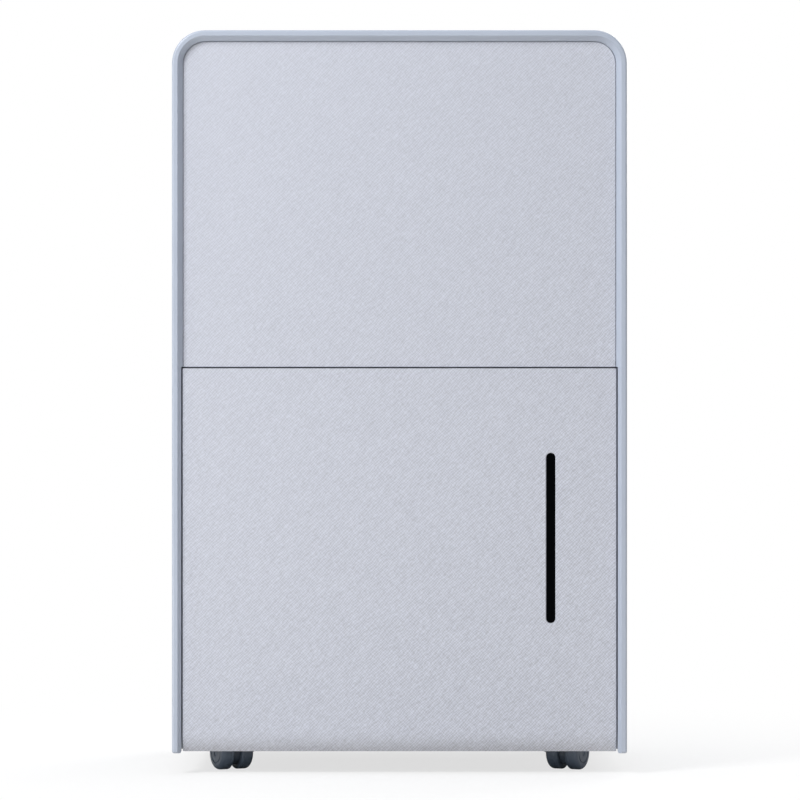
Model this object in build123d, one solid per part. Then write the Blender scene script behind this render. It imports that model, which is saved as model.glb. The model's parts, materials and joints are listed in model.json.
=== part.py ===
from build123d import *
import math
import os

# Portable compressor dehumidifier with a front bucket, on four swivel casters.
# Millimetres. +Z is up, the front faces -Y, and the floor under the casters is Z = 0.
# X = 0 is the middle of the width and Y = 0 the middle of the overall depth.

# ---------------------------------------------------------------- driving sizes
# Case
case_width = 387.0          # over the front frame's side rails
case_depth = 270.0          # front frame to back wall
case_top = 633.0            # floor to the top of the front frame
corner_radius = 28.0        # front frame's upper corners
wall = 2.5                  # moulded case walls
side_inset = 1.5            # the case sides lie this far inside the front frame
back_radius = 10.0          # rounding between the case sides and the back
back_lip = 12.0             # case side to the screwed back panel
back_flange = 1.6
back_overlap = 1.5          # how far the back panel's flange reaches behind the lip
cabinet_foot_z = 30.0       # lower edge of the case sides
fit_gap = 0.4               # round a piece that drops into an opening
slide_gap = 0.8             # round a piece that slides out

# Front frame
rim_width = 4.7             # flat outer rim of the frame's face
bevel_width = 4.3           # sloping inner part of the frame's face
bevel_depth = 7.0           # how far the slope leads back to the panels
frame_depth = 20.0
frame_land = 3.0            # straight part behind the slope
frame_foot_z = 18.0         # lower end of the side rails
frame_socket = 2.5          # wall of the rails, outside the cabinet's tongue
tongue_length = 7.5
rail_end_radius = 1.8

# Upper panel and bucket front
bay_share = 346.0 / 633.0   # the bucket bay's share of the height
seam = 1.1                  # dark line between the upper panel and the bucket front
panel_flange = 3.0          # the upper panel's rear flange past its face
bucket_proud = 1.5          # the bucket front stands this far out from the upper panel
bucket_side_gap = 1.0
bay_relief = 1.3            # the frame's opening is wider by this on each side of the bucket
bucket_front_depth = 11.0
bucket_foot_rise = 1.0      # bucket front's lower edge above the rails' ends
bucket_foot_curve = 16.0    # height of the curve under the bucket front's foot
bucket_foot_inset = 6.0     # how far that curve leads back
slot_side_room = 64.7       # case side to the middle of the water level window
slot_width = 7.9
slot_chamfer = 0.6
slot_height_share = 0.444   # of the bucket front's height
slot_place_share = 0.5575   # its middle, up the bucket front

# Bucket
bay_depth = 134.0           # front frame's face to the bay's back wall
bay_wall = 2.5
deck_lip = 14.0             # upright lip at the back of the deck
tub_wall = 2.2
tub_lug = 5.0               # between the bucket front and the tub
tub_side_room = 17.5        # for the carrying handle
tub_back_room = 8.0
tub_headroom = 56.0         # tub's rim to the top of the bay, for the handle and the nozzle
tub_corner = 18.0
tub_foot_radius = 8.0
rim_lip = 4.0
rim_thickness = 3.0
lid_thickness = 2.5
lid_skirt = 6.0
drip_hole_radius = 11.0
handle_arm = 66.0           # pivot to the middle of the grip
handle_thickness = 5.0
handle_grip_width = 12.0
handle_grip_height = 8.0
handle_pivot_radius = 5.0
handle_pivot_drop = 28.0    # pivot below the tub's rim
handle_pivot_room = 72.0    # pivot to the bay's back wall
pivot_gap = 0.05            # round a pin that turns
float_pin_radius = 1.5
float_slope = 35.0          # the float arm's slope down from level, at rest

# Base and casters
base_floor = 3.0
base_wall_height = 20.0
runner_height = 3.6
runner_x = 110.0
apron_width = 4.0           # tray's front aprons reach this far behind the bucket front
wheel_radius = 15.0
wheel_width = 11.5
wheel_spacing = 18.5        # between the middles of a caster's two wheels
axle_radius = 2.5
wheel_shoulder = 4.0        # rounding of a wheel's outer rim
wheel_inner_radius = 2.0
hood_gap = 1.0
hood_wall = 1.8
hood_edge = 5.0             # hood's lower edge above the axle
caster_trail = 8.0          # axle behind the kingpin
kingpin_radius = 3.0
boss_radius = 10.0
boss_drop = 6.4             # boss below the base floor
caster_side_room = 52.0     # case side to the kingpins
caster_front_room = 48.0    # front frame's face to the front kingpins
caster_back_room = 38.0     # back wall to the rear kingpins
caster_turns = {            # degrees that each caster stands turned, seen from above
    "front_left": 27.0,
    "front_right": -27.0,
    "rear_left": 155.0,
    "rear_right": -160.0,
}

# Air side
pan_depth = 14.0            # drain pan's height over the deck
pan_wall = 2.0
pan_lift = 3.0
nozzle_radius = 6.0
nozzle_drop = 7.0           # nozzle's end under the deck
nozzle_x = -60.0
nozzle_y = -40.0
coil_side_room = 65.5       # case side to the coils, for the tube bends and the pipes
coil_thickness = 28.0
coil_pitch = 28.0           # between tube rows
fin_thickness = 0.8
fin_pitch = 6.4
end_plate = 1.6
coil_tube_radius = 4.0
coil_gap = 8.0              # between fan housing, condenser and evaporator
filter_thickness = 5.0
filter_rail = 3.0
filter_bar = 6.0            # width of the filter frame's bars
filter_proud = 1.3          # pull tab over the case top
impeller_share = 0.31       # impeller's radius as a share of the room over the drain pan
impeller_width = 50.0
blade_count = 30
scroll_gap = 8.0            # impeller to the housing's tongue
scroll_step = 9.0           # how much the housing's radius grows each quarter turn
scroll_wall = 2.0
scroll_depth = 66.0
fan_room = 138.0            # front frame's face to the back of the fan housing
motor_radius = 45.0
motor_length = 46.0
shaft_radius = 4.0

# Refrigeration
compressor_room = 13.5      # between the compressor and the walls before and behind it
compressor_largest = 54.0   # its feet stay clear of the rear casters up to this radius
compressor_x = 72.0
compressor_headroom = 85.0  # compressor's top to the deck, for the pipes
compressor_void = 36.0      # radius of its sealed void, so that it weighs what a real one does
grommet_height = 14.0
grommet_radius = 11.0
accumulator_radius = 22.0
accumulator_height = 125.0
discharge_radius = 3.0
suction_radius = 4.75
capillary_radius = 2.0

# Top and controls
cover_side_room = 37.5      # case side to the top cover
cover_back_y = 102.0
cover_ledge = 4.0
cover_ledge_thickness = 2.0
fascia_half_width = 125.0
fascia_depth = 36.0
fascia_proud = 0.6
fascia_corner = 8.0
display_width = 46.0
display_depth = 20.0
display_corner = 1.5
button_radius = 8.0
button_proud = 0.8
button_flange = 1.5
button_gap = 0.3
button_pitch = 30.0
button_first_x = 48.0       # nearest button to the display, on each side
board_thickness = 1.6
tact_height = 3.8
exhaust_half_width = 116.0
exhaust_slat = 3.6
exhaust_pitch = 9.0

# Intake, handles, drain and cord entry
intake_edge = 8.0           # coil's side to the intake opening
intake_foot = 17.5          # deck to the intake opening
intake_top_room = 40.0      # case top to the intake opening
intake_slat_pitch = 8.0
intake_slot_height = 4.6
handle_cup_length = 110.0
handle_cup_height = 34.0
handle_cup_depth = 24.0
handle_cup_wall = 2.0
handle_cup_flange = 4.0
handle_cup_flange_thickness = 1.2
handle_cup_y = 8.0
handle_cup_drop = 75.0      # case top to the middle of the cup
spout_reach = 10.0          # past the back wall
spout_radius = 8.0
spout_shoulder = 0.3        # the spout is this much thicker inside the back wall
spout_bore = 5.0
spout_side_room = 43.5      # case side to the spout and to the cord's bush
spout_rise = 23.5           # deck to the spout
gland_z = 90.0
gland_radius = 9.0
gland_bore = 3.75
gland_length = 20.0
screw_radius = 2.0
screw_head_radius = 3.8
screw_head_height = 2.4

# ---------------------------------------------------------------- worked-out places
half = case_width / 2
bay_top_z = bay_share * case_top
front_y = -(case_depth + spout_reach) / 2
back_y = front_y + case_depth
back_in = back_y - wall
frame_face = rim_width + bevel_width
opening_half = half - frame_face
panel_y = front_y + bevel_depth
frame_back_y = front_y + frame_depth
flange_y = panel_y + frame_land
side_out = half - side_inset
side_in = side_out - wall
back_inset = side_inset + back_lip
cabinet_top = case_top - side_inset
cabinet_front_y = frame_back_y + fit_gap

base_z = 2 * wheel_radius + hood_gap + hood_wall + slide_gap + boss_drop
floor_z = base_z + base_floor
hood_top = 2 * wheel_radius + hood_gap + hood_wall
boss_z = hood_top + slide_gap
base_front_y = frame_back_y + 4.0
caster_x = half - caster_side_room
caster_spots = {
    "front_left": (-caster_x, front_y + caster_front_room),
    "front_right": (caster_x, front_y + caster_front_room),
    "rear_left": (-caster_x, back_y - caster_back_room),
    "rear_right": (caster_x, back_y - caster_back_room),
}

deck_top = bay_top_z + bay_wall
bay_back_y = front_y + bay_depth
partition_back_y = bay_back_y + bay_wall
bay_half = side_in - 1.0

bucket_face_y = panel_y - bucket_proud
bucket_half = opening_half + bay_relief - bucket_side_gap
bucket_foot_z = frame_foot_z + bucket_foot_rise
bucket_foot_radius = (bucket_foot_inset**2 + bucket_foot_curve**2) / (2 * bucket_foot_inset)
bucket_top_z = bay_top_z - seam / 2
panel_foot_z = bay_top_z + seam / 2
bucket_front_height = bucket_top_z - bucket_foot_z
slot_x = half - slot_side_room
slot_height = slot_height_share * bucket_front_height
slot_z = bucket_foot_z + slot_place_share * bucket_front_height
tub_half = side_in - tub_side_room
tub_front_y = bucket_face_y + wall + tub_lug
tub_back_y = bay_back_y - tub_back_room
tub_z = floor_z + runner_height + fit_gap
rim_z = bay_top_z - tub_headroom
lid_z = rim_z + lid_thickness
handle_pivot_z = rim_z - handle_pivot_drop
handle_pivot_y = bay_back_y - handle_pivot_room
handle_arm_x = tub_half + rim_lip + 1.0
handle_grip_reach = math.hypot(handle_grip_width, handle_grip_height) / 2
handle_rise = lid_z + 1.0 + handle_grip_reach - handle_pivot_z
handle_fold = math.degrees(math.asin(handle_rise / handle_arm))
float_x = -105.0
float_y = tub_back_y - 14.0
float_z = rim_z - 34.0

pan_z = deck_top + pan_lift
pan_top = deck_top + pan_depth
coil_half_width = half - coil_side_room
pan_half = coil_half_width + 18.0
cover_under = cabinet_top - wall - cover_ledge_thickness
impeller_radius = impeller_share * (cover_under - pan_top)
scroll_tongue = impeller_radius + scroll_gap
fan_z = pan_top + 2.0 + scroll_wall + scroll_tongue + 2 * scroll_step
fan_x = -scroll_step / 2
scroll_back_y = front_y + fan_room
scroll_front_y = scroll_back_y - scroll_depth
condenser_y = scroll_back_y + coil_gap + coil_thickness / 2
evaporator_y = condenser_y + coil_gap + coil_thickness
coil_z = pan_top + 2.0
coil_rows = 2 * int((cover_under - 10.0 - coil_z) / (2 * coil_pitch))
coil_top = coil_z + coil_rows * coil_pitch
first_row_z = coil_z + coil_pitch / 2
last_row_z = coil_top - coil_pitch / 2
tube_end_x = coil_half_width + 4.0
filter_y = back_in - 12.0
filter_low = deck_top + 0.2
filter_half = coil_half_width
intake_half_width = coil_half_width - intake_edge
intake_bottom_z = deck_top + intake_foot
grille_top_z = case_top - intake_top_room
spout_x = -(half - spout_side_room)
spout_z = deck_top + spout_rise
gland_x = half - spout_side_room

compressor_y = (partition_back_y + back_in) / 2
compressor_radius = min(compressor_largest, (back_in - partition_back_y) / 2 - compressor_room)
compressor_z = floor_z + grommet_height
compressor_top = bay_top_z - compressor_headroom
accumulator_x = compressor_x - compressor_radius - accumulator_radius - 6.0
accumulator_z = compressor_z + 34.0
accumulator_top = accumulator_z + accumulator_height

cover_half_width = half - cover_side_room
cover_front_y = cabinet_front_y + 11.0
fascia_y = cover_front_y + 4.0 + fascia_depth / 2
fascia_top = cabinet_top + fascia_proud
fascia_under = cabinet_top - wall
button_top = fascia_top + button_proud
board_z = fascia_under - 15.0
tact_top = board_z + board_thickness + tact_height
button_travel = 1.2
exhaust_front_y = scroll_front_y + 2.0
exhaust_back_y = scroll_back_y - 2.0
handle_cup_z = case_top - handle_cup_drop


# ---------------------------------------------------------------- shared shapes
def block(x0, x1, y0, y1, z0, z1):
    """Box between two opposite corners."""
    centre = Pos((x0 + x1) / 2, (y0 + y1) / 2, (z0 + z1) / 2)
    return centre * Box(x1 - x0, y1 - y0, z1 - z0)


def rod_z(x, y, z0, z1, radius):
    """Upright cylinder from z0 to z1."""
    return Pos(x, y, (z0 + z1) / 2) * Cylinder(radius, z1 - z0)


def rod_y(x, z, y0, y1, radius):
    """Cylinder along Y from y0 to y1."""
    return Pos(x, (y0 + y1) / 2, z) * Rot(90, 0, 0) * Cylinder(radius, y1 - y0)


def rod_x(y, z, x0, x1, radius):
    """Cylinder along X from x0 to x1."""
    return Pos((x0 + x1) / 2, y, z) * Rot(0, 90, 0) * Cylinder(radius, x1 - x0)


def upright(sketch, y0, y1):
    """A sketch drawn in X and Z, made solid from y0 back to y1."""
    return extrude(Plane.XZ.offset(-y1) * sketch, amount=y1 - y0)


def flat(sketch, z0, z1):
    """A sketch drawn in X and Y, made solid from z0 up to z1."""
    return extrude(Plane.XY.offset(z0) * sketch, amount=z1 - z0)


def sideways(sketch, x0, x1):
    """A sketch drawn in Y and Z, made solid from x0 to x1."""
    return extrude(Plane.YZ.offset(x0) * sketch, amount=x1 - x0)


def arch(inset, bottom_z):
    """The case's front outline, moved inwards by inset: square below, round at the upper corners."""
    width = 2 * (half - inset)
    top = case_top - inset
    shape = Pos(0, (top + bottom_z) / 2) * Rectangle(width, top - bottom_z)
    return fillet(shape.vertices().group_by(Axis.Y)[-1], corner_radius - inset)


def rounded(width, height, radius):
    """Rectangle with four round corners, centred on the origin."""
    return RectangleRounded(width, height, radius)


def punched(outline, holes):
    """A flat outline with holes through it. The holes must not touch."""
    face = outline.faces()[0]
    inner = [hole.faces()[0].outer_wire() for hole in holes]
    return Face(face.outer_wire(), inner)


def group(shapes):
    """Several separate solids as one node."""
    return Compound(children=list(shapes))


def pipe(points, bend, radius):
    """Round tube along straight runs joined by arcs of one bend radius."""
    path = FilletPolyline(*points, radius=bend)
    start = Plane(origin=path @ 0, z_dir=path % 0)
    return sweep(start * Circle(radius), path=path)


# ---------------------------------------------------------------- case
def front_frame():
    """U-shaped frame round the face: an outer rim, a slope down to the panels, and hollow rails behind."""
    body = upright(arch(0, frame_foot_z), front_y, frame_back_y)
    rim_edges = body.faces().sort_by(Axis.Y)[0].edges()
    body = fillet(rim_edges, rim_width / 2 - 0.35)
    below = frame_foot_z - 40.0
    opening = upright(arch(frame_face, below), front_y - 1.0, frame_back_y + 1.0)
    hollow = upright(arch(frame_socket, below), flange_y, frame_back_y + 1.0)
    slope_angle = math.degrees(math.atan(bevel_width / bevel_depth))
    start = Plane.XZ.offset(-front_y) * arch(rim_width, below)
    slope = extrude(start, amount=-bevel_depth, taper=slope_angle)
    relief = block(
        -opening_half - bay_relief, opening_half + bay_relief,
        front_y - 1.0, frame_back_y + 1.0, below, panel_foot_z,
    )
    frame = body - opening - hollow - slope - relief
    ends = frame.faces().group_by(Axis.Z)[0].edges().filter_by(Axis.Y).sort_by(Axis.X)
    return fillet([ends[0], ends[2], ends[3], ends[5]], rail_end_radius)


def upper_panel():
    """The fixed textured panel over the bucket, with a flange that sits behind the front frame."""
    bottom = panel_foot_z
    face = upright(arch(frame_face + 0.3, bottom), panel_y, flange_y)
    face = fillet(face.faces().sort_by(Axis.Y)[0].edges(), 0.8)
    flange = upright(arch(frame_face - panel_flange, bottom), flange_y, flange_y + 2.0)
    ribs = [
        block(x - 1.0, x + 1.0, flange_y + 2.0, flange_y + 4.0, bottom + 12.0, bottom + 60.0)
        for x in (-120.0, -40.0, 40.0, 120.0)
    ]
    panel = face + flange
    for rib in ribs:
        panel += rib
    return panel


def cabinet_wrap():
    """The sides and top of the case in one moulding, with a lip at the back that frames the back panel."""
    outer = upright(arch(side_inset, cabinet_foot_z), cabinet_front_y, back_y)
    outer = fillet(
        [e for e in outer.faces().sort_by(Axis.Y)[-1].edges() if e.center().Z > cabinet_foot_z + 1.0],
        back_radius,
    )
    below = cabinet_foot_z - 20.0
    inner = upright(arch(side_inset + wall, below), cabinet_front_y - 1.0, back_in)
    inner = fillet(
        [e for e in inner.faces().sort_by(Axis.Y)[-1].edges() if e.center().Z > below + 1.0],
        back_radius - wall,
    )
    shell = outer - inner - upright(arch(back_inset, below), back_in - 1.0, back_y + 1.0)
    tongue = upright(arch(frame_socket, cabinet_foot_z), frame_back_y - tongue_length, cabinet_front_y + 1.0)
    tongue -= upright(arch(side_inset + wall, below), frame_back_y - 9.0, cabinet_front_y + 2.0)
    shell += tongue
    top_gap = block(
        -cover_half_width, cover_half_width, cover_front_y, cover_back_y,
        cabinet_top - wall - 8.0, case_top,
    )
    filter_slot = block(
        -filter_half - slide_gap, filter_half + slide_gap,
        filter_y - slide_gap, filter_y + filter_thickness + slide_gap,
        cabinet_top - wall - 8.0, case_top,
    )
    cup_gap = block(
        -half, half,
        handle_cup_y - handle_cup_length / 2 - fit_gap,
        handle_cup_y + handle_cup_length / 2 + fit_gap,
        handle_cup_z - handle_cup_height / 2 - fit_gap,
        handle_cup_z + handle_cup_height / 2 + fit_gap,
    )
    return shell - top_gap - filter_slot - cup_gap


def back_panel():
    """Screwed back of the case, with the intake opening, the filter's rails and a flange behind the lip."""
    panel = upright(arch(back_inset + fit_gap, cabinet_foot_z), back_in, back_y)
    flange = upright(arch(back_inset - back_overlap, cabinet_foot_z), back_in - back_flange, back_in)
    flange -= upright(arch(back_inset + 3.0, cabinet_foot_z - 20.0), back_in - 9.0, back_in)
    panel += flange
    panel -= block(
        -intake_half_width - fit_gap, intake_half_width + fit_gap,
        back_in - 5.0, back_y + 1.0, intake_bottom_z, grille_top_z,
    )
    panel -= rod_y(spout_x, spout_z, back_in - 5.0, back_y + 1.0, spout_radius + spout_shoulder + 0.1)
    panel -= rod_y(gland_x, gland_z, back_in - 5.0, back_y + 1.0, gland_radius)
    for x, z in screw_spots():
        panel -= rod_y(x, z, back_in - 5.0, back_y + 1.0, screw_radius + 0.2)
    rail_top = case_top - back_inset - fit_gap
    front = filter_y - slide_gap
    back = filter_y + filter_thickness + slide_gap
    for side in (-1, 1):
        outside = side * (filter_half + slide_gap)
        channel = block(
            *sorted((outside - side * 4.0, outside + side * 3.0)),
            front - filter_rail, back_in, filter_low + 4.0, rail_top,
        )
        channel -= block(
            *sorted((outside - side * 5.0, outside)), front, back, filter_low, rail_top + 1.0
        )
        panel += channel
    return panel


def screw_spots():
    """Middles of the screws in the back wall, as (x, z): low into the base tray, high into the deck's lip."""
    edge = side_out - 22.0
    return [
        (side * edge, z)
        for side in (-1, 1)
        for z in (floor_z + base_wall_height / 2, deck_top + deck_lip / 2)
    ]


def case_screws():
    """Four pan-head screws that hold the back, with cross recesses."""
    screws = []
    for x, z in screw_spots():
        shank = rod_y(x, z, back_in - 10.0, back_y, screw_radius)
        head = rod_y(x, z, back_y, back_y + screw_head_height, screw_head_radius)
        head = fillet(head.edges().sort_by(Axis.Y)[-1], 1.0)
        recess_y = back_y + screw_head_height
        cross = block(x - 2.2, x + 2.2, recess_y - 1.3, recess_y + 1.0, z - 0.4, z + 0.4)
        cross += block(x - 0.4, x + 0.4, recess_y - 1.3, recess_y + 1.0, z - 2.2, z + 2.2)
        screws.append(shank + head - cross)
    return group(screws)


def top_cover():
    """Cover let into the top of the case, with openings for the controls and the exhaust grille."""
    depth = cover_back_y - cover_front_y
    mid_y = (cover_back_y + cover_front_y) / 2
    plate = Pos(0, mid_y) * rounded(
        2 * (cover_half_width - fit_gap), depth - 2 * fit_gap, 1.5
    )
    ledge = Pos(0, mid_y) * rounded(
        2 * (cover_half_width + cover_ledge), depth + 2 * cover_ledge, 3.0
    )
    exhaust_mid = (exhaust_front_y + exhaust_back_y) / 2
    exhaust_depth = exhaust_back_y - exhaust_front_y
    for_fascia = Pos(0, fascia_y) * rounded(
        2 * (fascia_half_width + 0.2), fascia_depth + 0.4, fascia_corner + 0.2
    )
    for_exhaust = Pos(0, exhaust_mid) * rounded(
        2 * (exhaust_half_width + 0.2), exhaust_depth + 0.4, 4.2
    )
    under_fascia = Pos(0, fascia_y) * rounded(
        2 * (fascia_half_width - 4.0), fascia_depth - 8.0, fascia_corner - 4.0
    )
    under_exhaust = Pos(0, exhaust_mid) * rounded(
        2 * (exhaust_half_width - 4.0), exhaust_depth - 8.0, 2.0
    )
    cover = flat(plate - for_fascia - for_exhaust, fascia_under, cabinet_top)
    cover += flat(ledge - under_fascia - under_exhaust, cover_under, fascia_under)
    for x in (-1, 1):
        for y in (-1, 1):
            cover += rod_z(
                x * (fascia_half_width - 1.2), fascia_y + y * (fascia_depth / 2 - 4.0),
                board_z + board_thickness, cover_under, 2.4,
            )
    return cover


def exhaust_grille():
    """Drop-in grille over the fan outlet: cross slats on two long ribs."""
    mid_y = (exhaust_front_y + exhaust_back_y) / 2
    depth = exhaust_back_y - exhaust_front_y
    plate = Pos(0, mid_y) * rounded(2 * exhaust_half_width, depth, 4.0)
    count = int((2 * exhaust_half_width - 16.0) / exhaust_pitch)
    slot = rounded(exhaust_pitch - exhaust_slat, depth / 2 - 10.0, 2.0)
    slots = [
        Pos((i - (count - 1) / 2) * exhaust_pitch, mid_y + side * (depth / 4 - 1.5)) * slot
        for i in range(count)
        for side in (-1, 1)
    ]
    return flat(punched(plate, slots), fascia_under, cabinet_top)


def intake_grille():
    """Rear grille, clipped into the back wall: a lip inside and rows of slots."""
    mid_z = (intake_bottom_z + grille_top_z) / 2
    height = grille_top_z - intake_bottom_z
    plate = Pos(0, mid_z) * rounded(2 * intake_half_width, height - 2 * fit_gap, 2.0)
    rows = int((height - 14.0) / intake_slat_pitch)
    columns = 4
    column_pitch = (2 * intake_half_width - 8.0) / columns
    slot = Rectangle(column_pitch - 6.0, intake_slot_height)
    slots = [
        Pos(
            (c - (columns - 1) / 2) * column_pitch,
            mid_z + (r - (rows - 1) / 2) * intake_slat_pitch,
        ) * slot
        for c in range(columns)
        for r in range(rows)
    ]
    grille = upright(punched(plate, slots), back_in - 1.6, back_y + 0.8)
    lip = Pos(0, mid_z) * rounded(2 * intake_half_width + 6.0, height + 6.0, 3.0)
    lip -= Pos(0, mid_z) * Rectangle(2 * intake_half_width - 2.0, height - 3.0)
    return grille + upright(lip, back_in - 1.6, back_in)


def handle_cups():
    """Finger pockets let into both sides of the case."""
    cups = []
    for side in (-1, 1):
        inner_x = side_out - handle_cup_depth
        outer = Pos(handle_cup_y, handle_cup_z) * rounded(
            handle_cup_length, handle_cup_height, 8.0
        )
        pocket = Pos(handle_cup_y, handle_cup_z) * rounded(
            handle_cup_length - 2 * handle_cup_wall,
            handle_cup_height - 2 * handle_cup_wall, 6.0,
        )
        flange = Pos(handle_cup_y, handle_cup_z) * rounded(
            handle_cup_length + 2 * handle_cup_flange,
            handle_cup_height + 2 * handle_cup_flange, 12.0,
        )
        face_x = side_out + handle_cup_flange_thickness
        cup = sideways(outer, inner_x - handle_cup_wall, side_out)
        cup += sideways(flange, side_out, face_x)
        cup -= sideways(pocket, inner_x, face_x + 1.0)
        cups.append(cup if side > 0 else cup.mirror(Plane.YZ))
    return group(cups)


def base_tray():
    """Floor of the case, with runners for the bucket, caster bosses and a low wall."""
    edge = side_in - 0.6
    rear = back_in - back_flange - 0.6
    corner = back_radius - wall + 1.0
    plan = Pos(0, (base_front_y + rear) / 2) * Rectangle(2 * edge, rear - base_front_y)
    plan = fillet(plan.vertices().group_by(Axis.Y)[-1], corner)
    inside = Pos(0, (base_front_y + rear) / 2 - 10.0) * Rectangle(
        2 * (edge - wall), rear - base_front_y + 20.0 - 2 * wall
    )
    inside = fillet(inside.vertices().group_by(Axis.Y)[-1], corner - wall)
    tray = flat(plan, base_z, floor_z)
    walls = flat(plan, floor_z, floor_z + base_wall_height)
    walls -= flat(inside, floor_z, floor_z + base_wall_height)
    tray += walls - block(-half, half, front_y, bay_back_y + 6.0, floor_z, bay_top_z)
    for side in (-1, 1):
        tray += block(
            side * runner_x - 4.0, side * runner_x + 4.0, base_front_y + 2.0, tub_back_y,
            floor_z, floor_z + runner_height,
        )
        tray += block(
            *sorted((side * (bucket_half - apron_width), side * edge)),
            base_front_y, base_front_y + wall, frame_foot_z + 2.0, base_z,
        )
    for x, y in caster_spots.values():
        tray += rod_z(x, y, boss_z, base_z, boss_radius)
    for x, y in caster_spots.values():
        tray -= rod_z(x, y, boss_z - 1.0, floor_z + 1.0, kingpin_radius + pivot_gap)
    for x, y in compressor_feet():
        tray += rod_z(x, y, floor_z, floor_z + 1.5, grommet_radius + 3.0)
        tray -= rod_z(x, y, floor_z, floor_z + 3.0, grommet_radius)
        tray -= rod_z(x, y, base_z - 1.0, floor_z + 1.0, 3.0)
    tray -= rod_y(gland_x, gland_z, rear - 10.0, rear + 10.0, gland_radius + 4.0)
    for x, z in screw_spots():
        tray -= rod_y(x, z, rear - 10.0, rear + 10.0, screw_radius)
    return tray


def bay_partition():
    """Upright wall behind the bucket."""
    wall_plate = block(-bay_half, bay_half, bay_back_y, partition_back_y, floor_z, bay_top_z)
    for x in (-60.0, 60.0):
        wall_plate += block(
            x - 1.2, x + 1.2, partition_back_y, partition_back_y + 4.0,
            floor_z, bay_top_z,
        )
    return wall_plate


def mid_deck():
    """Shelf that carries the fan, coils and drain pan over the bucket bay."""
    rear = back_in - back_flange - 1.0
    deck = block(-bay_half, bay_half, cabinet_front_y + 2.0, rear, bay_top_z, deck_top)
    deck -= rod_z(nozzle_x, nozzle_y, bay_top_z - 1.0, deck_top + 1.0, nozzle_radius + 1.0)
    deck -= block(
        tube_end_x + 4.0, tube_end_x + 38.0,
        min(evaporator_y, compressor_y) - 12.0, max(evaporator_y, compressor_y) + 12.0,
        bay_top_z - 1.0, deck_top + 1.0,
    )
    deck -= block(
        spout_x - 8.0, spout_x + 14.0, back_in - 30.0, back_in, bay_top_z - 1.0, deck_top + 1.0
    )
    corner = back_radius - wall
    rear_edges = [e for e in deck.edges().filter_by(Axis.Z) if e.center().Y > rear - 0.5]
    outer_edges = [e for e in rear_edges if abs(e.center().X) > bay_half - 1.0]
    deck = fillet(outer_edges, corner)
    for side in (-1, 1):
        middle = side * (side_out - 22.0)
        deck += block(
            middle - 7.0, middle + 7.0, rear - wall, rear, deck_top - 1.0, deck_top + deck_lip
        )
    for x, z in screw_spots():
        deck -= rod_y(x, z, back_in - 10.0, back_in + 10.0, screw_radius)
    return deck


# ---------------------------------------------------------------- controls
def button_spots():
    """Where each button sits along the control strip."""
    names = ("timer", "fan", "mode", "humidity_down", "humidity_up", "power")
    left = [-(button_first_x + i * button_pitch) for i in (2, 1, 0)]
    right = [button_first_x + i * button_pitch for i in (0, 1, 2)]
    return dict(zip(names, left + right))


def control_fascia():
    """Glossy control strip with holes for the buttons and the display."""
    shape = rounded(2 * fascia_half_width, fascia_depth, fascia_corner)
    shape -= [Pos(x, 0) * Circle(button_radius + button_gap) for x in button_spots().values()]
    shape -= rounded(display_width, display_depth, display_corner)
    return flat(Pos(0, fascia_y) * shape, fascia_under, fascia_top)


def display_window():
    """Smoked lens over the digits."""
    lens = Pos(0, fascia_y) * rounded(display_width, display_depth, display_corner)
    return flat(lens, fascia_under + 0.6, fascia_top)


def button(x):
    """Push button with a keeper flange under the fascia."""
    cap = rod_z(x, fascia_y, tact_top + button_travel + 0.2, button_top, button_radius)
    cap = fillet(cap.edges().sort_by(Axis.Z)[-1], 0.6)
    flange_top = fascia_under - 0.1
    return cap + rod_z(x, fascia_y, flange_top - button_flange, flange_top, button_radius + 1.5)


def control_board():
    """Circuit board under the fascia with tact switches and the digit module."""
    board = block(
        -fascia_half_width - 1.4, fascia_half_width + 1.4,
        fascia_y - fascia_depth / 2 + 1.0, fascia_y + fascia_depth / 2 - 1.0,
        board_z, board_z + board_thickness,
    )
    tacts = [
        block(x - 3.0, x + 3.0, fascia_y - 3.0, fascia_y + 3.0, board_z + board_thickness, tact_top)
        for x in button_spots().values()
    ]
    digits = block(
        4.0 - display_width / 2, display_width / 2 - 4.0,
        fascia_y + 2.0 - display_depth / 2, fascia_y - 2.0 + display_depth / 2,
        board_z + board_thickness, fascia_under - 1.0,
    )
    return group([board, digits, *tacts])


# ---------------------------------------------------------------- bucket
def bucket_profile(inset, longer):
    """The bucket front's outline from the side, curved under at the foot and moved inwards by inset."""
    centre_y = bucket_face_y + bucket_foot_radius
    centre_z = bucket_foot_z + bucket_foot_curve
    radius = bucket_foot_radius - inset
    back = bucket_face_y + bucket_front_depth + longer
    face = bucket_face_y + inset
    top = bucket_top_z - inset
    foot = bucket_foot_z + inset
    angle = math.asin((centre_z - foot) / radius)
    middle = (centre_y - radius * math.cos(angle / 2), centre_z - radius * math.sin(angle / 2))
    end = (centre_y - radius * math.cos(angle), foot)
    return make_face(Curve() + [
        Line((back, top), (face, top)),
        Line((face, top), (face, centre_z)),
        ThreePointArc((face, centre_z), middle, end),
        Line(end, (back, foot)),
        Line((back, foot), (back, top)),
    ])


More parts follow.
